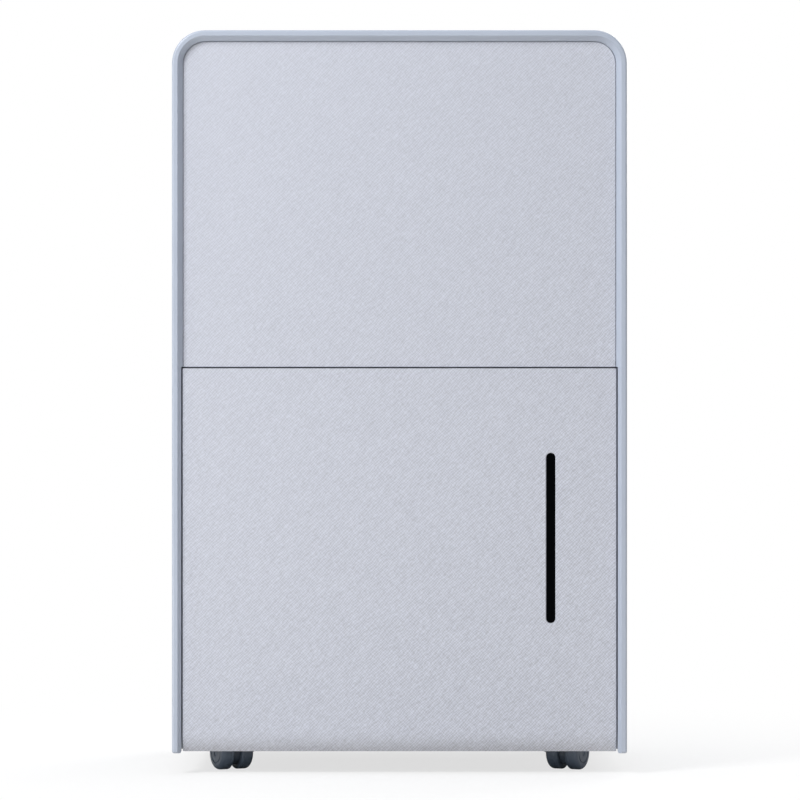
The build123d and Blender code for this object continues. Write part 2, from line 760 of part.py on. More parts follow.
def bucket_front():
    """Textured front of the bucket, curved under at the foot, with the level slot."""
    shell = sideways(bucket_profile(0.0, 0.0), -bucket_half, bucket_half)
    front_edges = [
        e for e in shell.edges().filter_by(Axis.Z)
        if e.center().Y < bucket_face_y + 0.1
    ]
    shell = fillet(front_edges, 1.0)
    shell -= sideways(bucket_profile(wall, 1.0), -(bucket_half - wall), bucket_half - wall)
    slot = Pos(slot_x, slot_z) * SlotOverall(slot_height, slot_width, rotation=90)
    shell -= upright(slot, bucket_face_y - 1.0, bucket_face_y + wall + 1.0)
    slot_edges = [
        e for e in shell.edges()
        if abs(e.center().Y - bucket_face_y) < 0.01
        and abs(e.center().X - slot_x) < slot_width
        and abs(e.center().Z - slot_z) < slot_height / 2 + 1.0
    ]
    return chamfer(slot_edges, slot_chamfer)


def level_window():
    """Smoked window in the bucket front, with a flange behind it."""
    lens = Pos(slot_x, slot_z) * SlotOverall(slot_height - 0.2, slot_width - 0.2, rotation=90)
    flange = Pos(slot_x, slot_z) * SlotOverall(slot_height + 6.0, slot_width + 6.0, rotation=90)
    inner_y = bucket_face_y + wall
    window = upright(lens, bucket_face_y + 0.7, inner_y)
    return window + upright(flange, inner_y, inner_y + 1.6)


def bucket_tub():
    """Water tub with a rolled rim, lugs for the front, handle pivots and float ears."""
    depth = tub_back_y - tub_front_y
    mid_y = (tub_front_y + tub_back_y) / 2
    outer = flat(Pos(0, mid_y) * rounded(2 * tub_half, depth, tub_corner), tub_z, rim_z)
    outer = fillet(outer.faces().sort_by(Axis.Z)[0].edges(), tub_foot_radius)
    inner = flat(
        Pos(0, mid_y) * rounded(
            2 * (tub_half - tub_wall), depth - 2 * tub_wall, tub_corner - tub_wall
        ),
        tub_z + tub_wall, rim_z + 1.0,
    )
    inner = fillet(inner.faces().sort_by(Axis.Z)[0].edges(), tub_foot_radius - tub_wall)
    lip = rounded(2 * (tub_half + rim_lip), depth + rim_lip, tub_corner + rim_lip / 2)
    rim = flat(Pos(0, mid_y) * lip, rim_z - rim_thickness, rim_z)
    tub = outer + rim - inner
    for x in (-120.0, 60.0):
        for z in (tub_z + 40.0, rim_z - 40.0):
            tub += rod_y(x, z, bucket_face_y + wall, tub_front_y + 0.5, 6.0)
    for side in (-1, 1):
        pivot = rod_x(
            handle_pivot_y, handle_pivot_z,
            *sorted((side * (tub_half - 0.5), side * (handle_arm_x + handle_thickness))),
            handle_pivot_radius,
        )
        tub += pivot
    for side in (-1, 1):
        x = float_x + side * 14.0
        tub += block(
            x - 2.0, x + 2.0, float_y - 5.0, tub_back_y - tub_wall + 0.5,
            float_z - 5.0, float_z + 5.0,
        )
        tub -= rod_x(float_y, float_z, x - 3.0, x + 3.0, float_pin_radius + pivot_gap)
    return tub


def bucket_lid():
    """Snap-on lid with a skirt, a drip hole and a pouring notch."""
    depth = tub_back_y - tub_front_y
    mid_y = (tub_front_y + tub_back_y) / 2
    plate = rounded(2 * (tub_half + 1.0), depth + 2.0, tub_corner + 1.0)
    skirt = rounded(2 * (tub_half - tub_wall - 0.3), depth - 2 * tub_wall - 0.6, tub_corner - tub_wall - 0.3)
    skirt_in = rounded(
        2 * (tub_half - tub_wall - 2.1), depth - 2 * tub_wall - 4.2, tub_corner - tub_wall - 2.1
    )
    lid = flat(Pos(0, mid_y) * plate, rim_z, lid_z)
    lid += flat(Pos(0, mid_y) * (skirt - skirt_in), rim_z - lid_skirt, rim_z)
    lid -= rod_z(nozzle_x, nozzle_y, rim_z - 1.0, lid_z + 1.0, drip_hole_radius)
    pour = Pos(tub_half - 40.0, mid_y) * rounded(36.0, 60.0, 8.0)
    return lid - flat(pour, rim_z - 1.0, lid_z + 1.0)


def bucket_handle():
    """Bail handle, folded back on the lid. It stands up about its two pivots."""
    arm = block(
        handle_arm_x, handle_arm_x + handle_thickness, -6.0, 6.0,
        0.0, handle_arm + handle_grip_height / 2,
    )
    arm += rod_x(0, 0, handle_arm_x, handle_arm_x + handle_thickness, 8.5)
    arm -= rod_x(
        0, 0, handle_arm_x - 1.0, handle_arm_x + handle_thickness + 1.0,
        handle_pivot_radius + pivot_gap,
    )
    grip = sideways(
        Pos(0, handle_arm) * rounded(handle_grip_width, handle_grip_height, 3.0),
        -handle_arm_x - handle_thickness, handle_arm_x + handle_thickness,
    )
    bail = arm + arm.mirror(Plane.YZ) + grip
    tilt = handle_fold - 90.0
    return Pos(0, handle_pivot_y, handle_pivot_z) * Rot(tilt, 0, 0) * bail


def float_arm():
    """Arm with two stub pins that turn in the tub's ears, sloping down to the float."""
    bar = block(-5.0, 5.0, -52.0, -3.0, -1.5, 1.5)
    arm = rod_x(0, 0, -11.0, 11.0, 4.5) + bar + rod_x(0, 0, -16.0, 16.0, float_pin_radius)
    return Pos(float_x, float_y, float_z) * Rot(float_slope, 0, 0) * arm


def float_block():
    """Foam float on the end of its arm."""
    foam = Pos(0, -64.0, 0) * Box(40.0, 24.0, 22.0)
    foam = fillet(foam.edges().filter_by(Axis.X), 5.0)
    return Pos(float_x, float_y, float_z) * Rot(float_slope, 0, 0) * foam


def reed_sensor():
    """Level switch on the back of the bay's wall, read by the float's magnet."""
    return block(
        float_x - 14.0, float_x + 14.0, partition_back_y, partition_back_y + 8.0,
        float_z - 7.0, float_z + 7.0,
    )


# ---------------------------------------------------------------- air side
def filter_frame():
    """Frame of the washable filter, with cross bars and a pull tab at the top."""
    low = filter_low
    high = cabinet_top + filter_proud
    mid_z = (low + high) / 2
    outline = Pos(0, mid_z) * Rectangle(2 * filter_half, high - low)
    open_height = (high - 14.0 - low - 5 * filter_bar) / 4
    open_width = (2 * filter_half - 4 * filter_bar) / 3
    holes = [
        Pos(
            (c - 1) * (open_width + filter_bar),
            low + filter_bar + open_height / 2 + r * (open_height + filter_bar),
        ) * Rectangle(open_width, open_height)
        for c in range(3)
        for r in range(4)
    ]
    return upright(punched(outline, holes), filter_y, filter_y + filter_thickness)


def filter_mesh():
    """Filter mesh panels, one in each opening of the frame."""
    low = filter_low
    high = cabinet_top + filter_proud
    open_height = (high - 14.0 - low - 5 * filter_bar) / 4
    open_width = (2 * filter_half - 4 * filter_bar) / 3
    mid_y = filter_y + filter_thickness / 2
    panels = []
    for c in range(3):
        for r in range(4):
            x = (c - 1) * (open_width + filter_bar)
            z = low + filter_bar + open_height / 2 + r * (open_height + filter_bar)
            panels.append(block(
                x - open_width / 2, x + open_width / 2, mid_y - 0.4, mid_y + 0.4,
                z - open_height / 2, z + open_height / 2,
            ))
    return group(panels)


def coil_fins(y):
    """Thin upright fins punched for the tube's rows, between two end plates that stand in the pan."""
    holes = [Pos(y, first_row_z + r * coil_pitch) * Circle(coil_tube_radius) for r in range(coil_rows)]
    fin = punched(Pos(y, (coil_z + coil_top) / 2) * Rectangle(coil_thickness, coil_top - coil_z), holes)
    first = sideways(fin, -fin_thickness / 2, fin_thickness / 2)
    gaps = int((2 * coil_half_width - 2 * end_plate - fin_pitch) / fin_pitch)
    made = [Pos((i - gaps / 2) * fin_pitch, 0, 0) * first for i in range(gaps + 1)]
    foot = pan_z + pan_wall
    plate = punched(Pos(y, (foot + coil_top) / 2) * Rectangle(coil_thickness, coil_top - foot), holes)
    for x in (-coil_half_width, coil_half_width - end_plate):
        made.append(sideways(plate, x, x + end_plate))
    return group(made)


def coil_tube(y):
    """One tube that runs to and fro through the fins, from the lowest row to the top one."""
    right, left = tube_end_x, -tube_end_x
    bend = coil_pitch / 2
    pieces = []
    for r in range(coil_rows):
        z = first_row_z + r * coil_pitch
        pieces.append(Line((left, z), (right, z)))
        if r < coil_rows - 1:
            x = left if r % 2 == 0 else right
            apex = x + (bend if x > 0 else -bend)
            pieces.append(
                ThreePointArc((x, z), (apex, z + bend), (x, z + coil_pitch))
            )
    path = Plane.XZ.offset(-y) * Wire(Curve() + pieces)
    path = path.edges().sort_by(Axis.Z)
    wire = Wire(path)
    start = Plane(origin=wire @ 0, z_dir=wire % 0)
    return sweep(start * Circle(coil_tube_radius), path=wire)


def drain_pan():
    """Pan under both coils, with a channel forward to the nozzle over the bucket."""
    x = pan_half
    y0 = condenser_y - coil_thickness / 2 - 4.0
    y1 = evaporator_y + coil_thickness / 2 + 6.0
    cx, cy = 15.0, nozzle_y - 12.0
    low = pan_z
    body = block(-x, x, y0, y1, low, pan_top)
    body += block(nozzle_x - cx, nozzle_x + cx, cy, y0 + 1.0, low, pan_top - 2.0)
    body -= block(
        -x + pan_wall, x - pan_wall, y0 + pan_wall, y1 - pan_wall,
        low + pan_wall, pan_top + 1.0,
    )
    body -= block(
        nozzle_x - cx + pan_wall, nozzle_x + cx - pan_wall, cy + pan_wall, y0 + 5.0,
        low + pan_wall, pan_top + 1.0,
    )
    for foot_x in (-x + 12.0, x - 12.0):
        for foot_y in (y0 + 10.0, y1 - 10.0):
            body += rod_z(foot_x, foot_y, deck_top, low + 0.5, 4.0)
    body += rod_z(nozzle_x, nozzle_y, bay_top_z - nozzle_drop, low + 1.0, nozzle_radius)
    return body - rod_z(
        nozzle_x, nozzle_y, bay_top_z - nozzle_drop - 1.0, low + 5.0, nozzle_radius - 1.5
    )


def scroll_outline(extra):
    """Fan housing outline in X and Z: three quarter arcs that grow, then a duct up to the grille."""
    s = scroll_step
    r1 = scroll_tongue + s / 2 + extra
    r2, r3 = r1 + s, r1 + 2 * s
    c1 = (fan_x - s / 2, fan_z - s / 2)
    c2 = (fan_x + s / 2, fan_z - s / 2)
    c3 = (fan_x + s / 2, fan_z + s / 2)
    top_z = cover_under - fit_gap
    left_x = c1[0] - extra

    def on(centre, radius, angle):
        a = math.radians(angle)
        return (centre[0] + radius * math.cos(a), centre[1] + radius * math.sin(a))

    start_angle = 90.0 + math.degrees(math.asin(extra / r1))
    first = on(c1, r1, start_angle)
    edges = Curve() + [
        ThreePointArc(first, on(c1, r1, 135), on(c1, r1, 180)),
        ThreePointArc(on(c2, r2, 180), on(c2, r2, 225), on(c2, r2, 270)),
        ThreePointArc(on(c3, r3, 270), on(c3, r3, 315), on(c3, r3, 360)),
        Line(on(c3, r3, 360), (c3[0] + r3, top_z)),
        Line((c3[0] + r3, top_z), (left_x, top_z)),
        Line((left_x, top_z), first),
    ]
    return make_face(edges)


def fan_scroll():
    """Volute fan housing with a rear inlet, a front motor seat and an outlet under the grille."""
    outer = upright(scroll_outline(scroll_wall), scroll_front_y, scroll_back_y)
    inner = upright(
        scroll_outline(0.0), scroll_front_y + scroll_wall, scroll_back_y - scroll_wall
    )
    outlet = block(
        fan_x - scroll_step / 2 + 0.5, fan_x + scroll_step + scroll_tongue + 2 * scroll_step - 0.5,
        scroll_front_y + scroll_wall, scroll_back_y - scroll_wall,
        cover_under - 6.0, cover_under + 1.0,
    )
    housing = outer - inner - outlet
    housing -= rod_y(fan_x, fan_z, scroll_back_y - 5.0, scroll_back_y + 1.0, impeller_radius * 0.78)
    housing -= rod_y(fan_x, fan_z, scroll_front_y - 1.0, scroll_front_y + 5.0, 14.0)
    for side in (-1, 1):
        x = fan_x + side * (scroll_tongue - 10.0)
        foot_z = fan_z - scroll_tongue
        housing += block(
            x - 8.0, x + 8.0, scroll_front_y, scroll_front_y + 3.0, deck_top, foot_z + 20.0
        ) - upright(scroll_outline(0.0), scroll_front_y - 1.0, scroll_back_y)
    return housing


def fan_impeller():
    """Forward-curved wheel: a back disc with a hub, a ring, and blades between them."""
    front = scroll_front_y + 6.0
    back = front + impeller_width
    disc = rod_y(fan_x, fan_z, front, front + 2.0, impeller_radius)
    hub = rod_y(fan_x, fan_z, front + 1.0, front + 24.0, 13.0)
    ring = rod_y(fan_x, fan_z, back - 4.0, back, impeller_radius)
    ring -= rod_y(fan_x, fan_z, back - 5.0, back + 1.0, impeller_radius - 3.0)
    chord = 16.0
    blade = Pos(impeller_radius - chord / 2 - 0.8, 0) * Rot(0, 0, 24.0) * Rectangle(chord, 1.4)
    blade = blade & (Circle(impeller_radius) - Circle(impeller_radius - chord))
    blades = [
        Pos(fan_x, fan_z) * Rot(0, 0, 360.0 * i / blade_count) * blade
        for i in range(blade_count)
    ]
    wheel = disc + hub + ring + upright(Sketch() + blades, front + 1.5, back - 2.0)
    return wheel - rod_y(fan_x, fan_z, front - 1.0, back, shaft_radius)


def fan_motor():
    """Motor can with cooling ribs, seated on the front of the fan housing."""
    back = scroll_front_y
    can = rod_y(fan_x, fan_z, back - motor_length, back - 4.0, motor_radius)
    can = fillet(can.edges().sort_by(Axis.Y)[0], 5.0)
    can += rod_y(fan_x, fan_z, back - 4.5, back, motor_radius + 8.0)
    for i in range(16):
        rib = Pos(motor_radius + 0.5, 0) * Rectangle(4.0, 2.0)
        turned = Pos(fan_x, fan_z) * Rot(0, 0, 22.5 * i) * rib
        can += upright(turned, back - motor_length + 8.0, back - 4.0)
    return can - rod_y(fan_x, fan_z, back - motor_length + 6.0, back + 1.0, shaft_radius + 0.05)


def motor_shaft():
    """Steel shaft from the motor through the wheel's hub."""
    return rod_y(fan_x, fan_z, scroll_front_y - motor_length + 7.0, scroll_front_y + 34.0, shaft_radius)


# ---------------------------------------------------------------- refrigeration
def compressor_feet():
    """Middles of the compressor's four feet."""
    reach = compressor_radius + 8.0
    return [
        (
            compressor_x + reach * math.cos(math.radians(a)),
            compressor_y + reach * math.sin(math.radians(a)),
        )
        for a in (-35.0, 35.0, 145.0, 215.0)
    ]


def compressor():
    """Hermetic rotary compressor: a domed can on a foot plate."""
    can = rod_z(compressor_x, compressor_y, compressor_z, compressor_top, compressor_radius)
    can = fillet(can.edges().sort_by(Axis.Z)[-1], 16.0)
    for x, y in compressor_feet():
        can += rod_z(x, y, compressor_z, compressor_z + 3.0, 10.0)
        mid = Pos((x + compressor_x) / 2, (y + compressor_y) / 2)
        angle = math.degrees(math.atan2(y - compressor_y, x - compressor_x))
        arm = mid * Rot(0, 0, angle) * Rectangle(compressor_radius + 8.0, 20.0)
        can += flat(arm, compressor_z, compressor_z + 3.0)
    for x, y in compressor_feet():
        can -= rod_z(x, y, compressor_z - 1.0, compressor_z + 4.0, 3.0)
    can -= rod_z(compressor_x, compressor_y, compressor_z + 12.0, compressor_top - 14.0, compressor_void)
    can += rod_z(compressor_x - 22.0, compressor_y - 14.0, compressor_top - 2.0, compressor_top + 12.0, 14.0)
    return can


def compressor_grommets():
    """Rubber feet between the base and the compressor's plate."""
    return group(
        rod_z(x, y, floor_z, compressor_z, grommet_radius)
        - rod_z(x, y, floor_z - 1.0, compressor_z + 1.0, 3.0)
        for x, y in compressor_feet()
    )


def compressor_bolts():
    """Bolts through the compressor's feet and grommets."""
    bolts = []
    for x, y in compressor_feet():
        shank = rod_z(x, y, base_z, compressor_z + 3.0, 2.9)
        head = Pos(x, y) * RegularPolygon(5.5, 6)
        bolts.append(shank + flat(head, compressor_z + 3.0, compressor_z + 7.0))
    return group(bolts)


def accumulator():
    """Suction accumulator beside the compressor, with its elbow into the can."""
    body = rod_z(accumulator_x, compressor_y, accumulator_z, accumulator_top, accumulator_radius)
    body = fillet(body.edges().filter_by(GeomType.CIRCLE), 10.0)
    body -= rod_z(
        accumulator_x, compressor_y, accumulator_z + 8.0, accumulator_top - 8.0, accumulator_radius - 3.0
    )
    entry_x = compressor_x - compressor_radius + 1.0
    elbow = pipe(
        [
            (accumulator_x, compressor_y, accumulator_z + 1.0),
            (accumulator_x, compressor_y, accumulator_z - 14.0),
            (entry_x - 1.0, compressor_y, accumulator_z - 14.0),
        ],
        10.0, suction_radius,
    )
    return body + elbow


def discharge_pipe():
    """Hot gas pipe from the compressor's top to the condenser's top row."""
    riser_x = tube_end_x + 28.0
    return pipe(
        [
            (compressor_x, compressor_y, compressor_top),
            (compressor_x, compressor_y, compressor_top + 24.0),
            (riser_x, compressor_y, compressor_top + 24.0),
            (riser_x, compressor_y, last_row_z),
            (riser_x, condenser_y, last_row_z),
            (tube_end_x, condenser_y, last_row_z),
        ],
        10.0, discharge_radius,
    )


def suction_pipe():
    """Cold gas pipe from the evaporator's lowest row down to the accumulator."""
    drop_x = pan_half + suction_radius + 0.8
    run_z = compressor_top + 46.0
    return pipe(
        [
            (tube_end_x, evaporator_y, first_row_z),
            (drop_x, evaporator_y, first_row_z),
            (drop_x, evaporator_y, run_z),
            (accumulator_x, compressor_y, run_z),
            (accumulator_x, compressor_y, accumulator_top),
        ],
        10.0, suction_radius,
    )


def capillary_tube():
    """Thin tube from the condenser's lowest row to the evaporator's top row."""
    x = tube_end_x + 20.0
    mid_y = (condenser_y + evaporator_y) / 2
    return pipe(
        [
            (tube_end_x, condenser_y, first_row_z),
            (x, condenser_y, first_row_z),
            (x, mid_y, first_row_z),
            (x, mid_y, last_row_z),
            (x, evaporator_y, last_row_z),
            (tube_end_x, evaporator_y, last_row_z),
        ],
        7.0, capillary_radius,
    )


# ---------------------------------------------------------------- electrics and rear fittings
def power_box():
    """Closed box for the power board, on the deck beside the fan housing."""
    x0 = -side_in + 8.0
    box = block(x0, x0 + 56.0, cabinet_front_y + 6.0, scroll_front_y + 10.0, deck_top, deck_top + 118.0)
    return fillet(box.edges().filter_by(Axis.Z), 3.0)


def run_capacitor():
    """Compressor's run capacitor on the deck, with two tabs."""
    x, y = side_in - 34.0, scroll_front_y - 22.0
    can = rod_z(x, y, deck_top, deck_top + 72.0, 18.0)
    can = fillet(can.edges().sort_by(Axis.Z)[-1], 2.0)
    for side in (-1, 1):
        tab = x + side * 6.0
        can += block(tab - 0.5, tab + 0.5, y - 3.0, y + 3.0, deck_top + 71.0, deck_top + 82.0)
    return can


def drain_spout():
    """Hose spout for a continuous drain, with a flange inside the back wall."""
    tip_y = back_y + spout_reach
    spout = rod_y(spout_x, spout_z, back_y, tip_y, spout_radius)
    spout += rod_y(spout_x, spout_z, back_in, back_y, spout_radius + spout_shoulder)
    spout += rod_y(spout_x, spout_z, back_in - 4.0, back_in, spout_radius + 4.0)
    return spout - rod_y(spout_x, spout_z, back_in - 5.0, tip_y + 1.0, spout_bore)


def drain_plug():
    """Rubber plug in the spout's bore. Its head is no wider than the spout."""
    tip_y = back_y + spout_reach - 0.01
    plug = rod_y(spout_x, spout_z, tip_y - 12.0, tip_y - 1.0, spout_bore - 0.05)
    head = rod_y(spout_x, spout_z, tip_y - 3.0, tip_y, spout_bore - 0.05)
    return plug + head - rod_y(spout_x, spout_z, tip_y - 2.0, tip_y + 1.0, 2.5)


def cord_gland():
    """Bush where the supply cord enters the back wall."""
    tip_y = back_y + 5.0
    bush = rod_y(gland_x, gland_z, tip_y - gland_length, tip_y, gland_radius)
    bush += rod_y(gland_x, gland_z, back_y, tip_y, gland_radius + 2.5)
    bush = fillet(bush.edges().sort_by(Axis.Y)[-1], 1.5)
    return bush - rod_y(gland_x, gland_z, tip_y - gland_length - 1.0, tip_y + 1.0, gland_bore)


# ---------------------------------------------------------------- casters
def caster_place(name):
    """From a caster's own frame, with the kingpin at the origin and the axle behind it, to the case."""
    x, y = caster_spots[name]
    return Pos(x, y, 0) * Rot(0, 0, caster_turns[name])


def caster_fork(name):
    """Hood that covers both wheels, its middle web, and the steel kingpin pressed into it."""
    outer_radius = wheel_radius + hood_gap + hood_wall
    web = wheel_spacing - wheel_width - 1.0
    length = wheel_spacing + wheel_width + 1.0
    dome = rod_x(caster_trail, wheel_radius, -length / 2, length / 2, outer_radius)
    dome = fillet(dome.edges().filter_by(GeomType.CIRCLE), 3.0)
    for side in (-1, 1):
        room = sorted((side * web / 2, side * (length / 2 + 1.0)))
        dome -= rod_x(caster_trail, wheel_radius, *room, wheel_radius + hood_gap)
    keep_z = wheel_radius + hood_edge
    under = block(-40.0, 40.0, -40.0, 60.0, -5.0, keep_z)
    shell = dome - under
    plate = rod_x(caster_trail, wheel_radius, -web / 2, web / 2, wheel_radius - 4.0)
    boss = rod_z(0, 0, keep_z, hood_top, kingpin_radius + 3.0)
    clear = [
        rod_x(
            caster_trail, wheel_radius, *sorted((side * web / 2, side * length)),
            wheel_radius + hood_gap,
        )
        for side in (-1, 1)
    ]
    boss = boss - clear
    bar = block(-web / 2, web / 2, -kingpin_radius - 3.0, caster_trail, keep_z, hood_top - 4.0)
    hood = shell + plate + boss + bar
    hood -= rod_z(0, 0, keep_z + 2.0, hood_top + 1.0, kingpin_radius)
    hood -= rod_x(caster_trail, wheel_radius, -length, length, axle_radius + pivot_gap)
    kingpin = rod_z(0, 0, keep_z + 2.0, floor_z + 1.5, kingpin_radius)
    solids = [s for s in hood.solids() if s.volume > 1.0]
    return group([caster_place(name) * s for s in (*solids, kingpin)])


def caster_wheels(name):
    """Two domed wheels pressed on one axle."""
    made = []
    for side in (-1, 1):
        mid = side * wheel_spacing / 2
        ends = sorted((mid - wheel_width / 2, mid + wheel_width / 2))
        wheel = rod_x(caster_trail, wheel_radius, *ends, wheel_radius)
        rims = wheel.edges().filter_by(GeomType.CIRCLE).sort_by(Axis.X)
        wheel = fillet(rims[-1] if side > 0 else rims[0], wheel_shoulder)
        rims = wheel.edges().filter_by(GeomType.CIRCLE).sort_by(Axis.X)
        wheel = fillet(rims[0] if side > 0 else rims[-1], wheel_inner_radius)
        wheel -= rod_x(caster_trail, wheel_radius, -40.0, 40.0, axle_radius)
        made.append(wheel)
    reach = wheel_spacing / 2 + wheel_width / 2 - 1.5
    made.append(rod_x(caster_trail, wheel_radius, -reach, reach, axle_radius))
    return group([caster_place(name) * s for s in made])


# ---------------------------------------------------------------- every node
def nodes():
    """Each node's name and a function that makes it."""
    made = {
        "front_frame": front_frame,
        "upper_panel": upper_panel,
        "cabinet_wrap": cabinet_wrap,
        "back_panel": back_panel,
        "case_screws": case_screws,
        "top_cover": top_cover,
        "exhaust_grille": exhaust_grille,
        "intake_grille": intake_grille,
        "handle_cups": handle_cups,
        "base_tray": base_tray,
        "bay_partition": bay_partition,
        "mid_deck": mid_deck,
        "control_fascia": control_fascia,
        "display_window": display_window,
        "control_board": control_board,
        "bucket_front": bucket_front,
        "level_window": level_window,
        "bucket_tub": bucket_tub,
        "bucket_lid": bucket_lid,
        "bucket_handle": bucket_handle,
        "float_arm": float_arm,
        "float_block": float_block,
        "reed_sensor": reed_sensor,
        "filter_frame": filter_frame,
        "filter_mesh": filter_mesh,
        "evaporator_fins": lambda: coil_fins(evaporator_y),
        "evaporator_tube": lambda: coil_tube(evaporator_y),
        "condenser_fins": lambda: coil_fins(condenser_y),
        "condenser_tube": lambda: coil_tube(condenser_y),
        "drain_pan": drain_pan,
        "fan_scroll": fan_scroll,
        "fan_impeller": fan_impeller,
        "fan_motor": fan_motor,
        "motor_shaft": motor_shaft,
        "compressor": compressor,
        "compressor_grommets": compressor_grommets,
        "compressor_bolts": compressor_bolts,
        "accumulator": accumulator,
        "discharge_pipe": discharge_pipe,
        "suction_pipe": suction_pipe,
        "capillary_tube": capillary_tube,
        "power_box": power_box,
        "run_capacitor": run_capacitor,
        "drain_spout": drain_spout,
        "drain_plug": drain_plug,
        "cord_gland": cord_gland,
    }
    for name, x in button_spots().items():
        made[f"{name}_button"] = lambda x=x: button(x)
    for name in caster_spots:
        made[f"caster_{name}_fork"] = lambda name=name: caster_fork(name)
        made[f"caster_{name}_wheels"] = lambda name=name: caster_wheels(name)
    return made


os.makedirs("parts", exist_ok=True)
for node_name, make in nodes().items():
    export_step(make(), f"parts/{node_name}.step")
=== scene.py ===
"""Looks of a portable compressor dehumidifier with a front water bucket, on four swivel casters.

The case, bucket and inner works come from the frame. This file gives each of them its finish, adds the
fine pieces that the frame leaves out, and sets up a plain studio round the whole.
"""

import json
import logging
import math
from dataclasses import dataclass, field
from enum import Enum
from typing import Any

import bmesh
import bpy
from mathutils import Matrix, Vector


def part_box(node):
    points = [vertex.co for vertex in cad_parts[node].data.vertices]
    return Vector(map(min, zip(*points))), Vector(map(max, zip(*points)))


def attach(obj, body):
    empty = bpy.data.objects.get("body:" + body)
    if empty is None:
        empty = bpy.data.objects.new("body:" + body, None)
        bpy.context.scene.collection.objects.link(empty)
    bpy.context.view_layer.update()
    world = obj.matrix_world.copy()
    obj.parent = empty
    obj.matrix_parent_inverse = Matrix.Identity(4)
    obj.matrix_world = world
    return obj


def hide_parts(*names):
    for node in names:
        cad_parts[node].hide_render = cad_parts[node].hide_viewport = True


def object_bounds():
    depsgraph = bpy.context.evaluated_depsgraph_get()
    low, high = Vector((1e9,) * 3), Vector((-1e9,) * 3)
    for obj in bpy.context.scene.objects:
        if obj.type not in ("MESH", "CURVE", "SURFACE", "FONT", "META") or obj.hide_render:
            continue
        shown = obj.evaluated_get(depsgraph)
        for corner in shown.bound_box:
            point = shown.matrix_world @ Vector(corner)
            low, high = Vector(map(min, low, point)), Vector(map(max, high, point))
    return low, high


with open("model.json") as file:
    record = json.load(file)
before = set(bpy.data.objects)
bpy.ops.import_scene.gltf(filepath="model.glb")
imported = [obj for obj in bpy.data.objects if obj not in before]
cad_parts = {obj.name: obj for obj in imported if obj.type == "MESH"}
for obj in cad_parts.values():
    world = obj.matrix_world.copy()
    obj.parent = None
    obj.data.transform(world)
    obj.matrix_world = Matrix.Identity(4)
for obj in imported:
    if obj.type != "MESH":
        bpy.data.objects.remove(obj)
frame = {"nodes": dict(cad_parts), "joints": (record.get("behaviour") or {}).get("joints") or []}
CAD_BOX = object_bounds()
LOG = logging.getLogger("dehumidifier")
MM = 0.001
WAVE_PERIOD = math.tau / 20.0  # a wave texture at scale 1 repeats over this length

Socket = tuple[bpy.types.Node, str]
Point = tuple[float, float, float]
Flat = tuple[float, float]


# ------------------------------------------------------------------ shared tools
def linear(hex_code: str) -> tuple[float, float, float, float]:
    """Turns an sRGB hex colour into the linear values that shaders use.

    Args:
        hex_code: six hex digits, such as "c8d0dc".

    Returns:
        Linear red, green, blue and an alpha of 1.
    """
    parts = [int(hex_code[i : i + 2], 16) / 255 for i in (0, 2, 4)]
    made = [c / 12.92 if c <= 0.04045 else ((c + 0.055) / 1.055) ** 2.4 for c in parts]
    return (made[0], made[1], made[2], 1.0)


def per_metre(size_mm: float) -> float:
    """Texture scale at which one feature is size_mm across, on Object coordinates in metres."""
    return 1000.0 / size_mm


def add(
    tree: bpy.types.NodeTree,
    kind: str,
    values: dict[Any, Any] | None = None,
    links: dict[Any, Socket] | None = None,
    **settings: Any,
) -> bpy.types.Node:
    """Adds one node with its settings, socket values and incoming links.

    Args:
        tree: the node tree.
        kind: the node's type, such as "ShaderNodeTexNoise".
        values: socket name or number to value.
        links: socket name or number to the (node, output) that feeds it.
        **settings: the node's own properties.

    Returns:
        The new node.
    """
    node = tree.nodes.new(kind)
    for key, value in settings.items():
        setattr(node, key, value)
    for key, value in (values or {}).items():
        node.inputs[key].default_value = value
    for key, (source, output) in (links or {}).items():
        tree.links.new(source.outputs[output], node.inputs[key])
    return node


def dress(node: str, finish: "Finish") -> None:
    """Gives a frame node a finish.

    Args:
        node: the node's name.
        finish: what it is made of.
    """
    thing = frame["nodes"][node]
    material = finish.material()
    if not thing.data.materials:
        thing.data.materials.append(material)
    for place in thing.material_slots:
        place.material = material
    LOG.info("%s: %s", node, finish.name)


def finished_piece(
    name: str, shape: bmesh.types.BMesh, finish: "Finish", body: str, smooth: float = 35.0
) -> bpy.types.Object:
    """Turns a finished bmesh into a piece that rides on a body.

    Args:
        name: the piece's name.
        shape: the mesh, in metres and in place. It is freed here.
        finish: what it is made of.
        body: the frame body it moves with.
        smooth: edges flatter than this many degrees are shaded smooth.

    Returns:
        The new object.
    """
    bmesh.ops.remove_doubles(shape, verts=shape.verts, dist=1e-6)
    bmesh.ops.recalc_face_normals(shape, faces=shape.faces)
    limit = math.radians(smooth)
    for face in shape.faces:
        face.smooth = True
    for edge in shape.edges:
        edge.smooth = len(edge.link_faces) == 2 and edge.calc_face_angle(0.0) < limit
    mesh = bpy.data.meshes.new(name)
    shape.to_mesh(mesh)
    shape.free()
    mesh.materials.append(finish.material())
    piece = bpy.data.objects.new(name, mesh)
    bpy.context.scene.collection.objects.link(piece)
    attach(piece, body)
    LOG.info("%s: %d faces, %s, on %s", name, len(mesh.polygons), finish.name, body)
    return piece


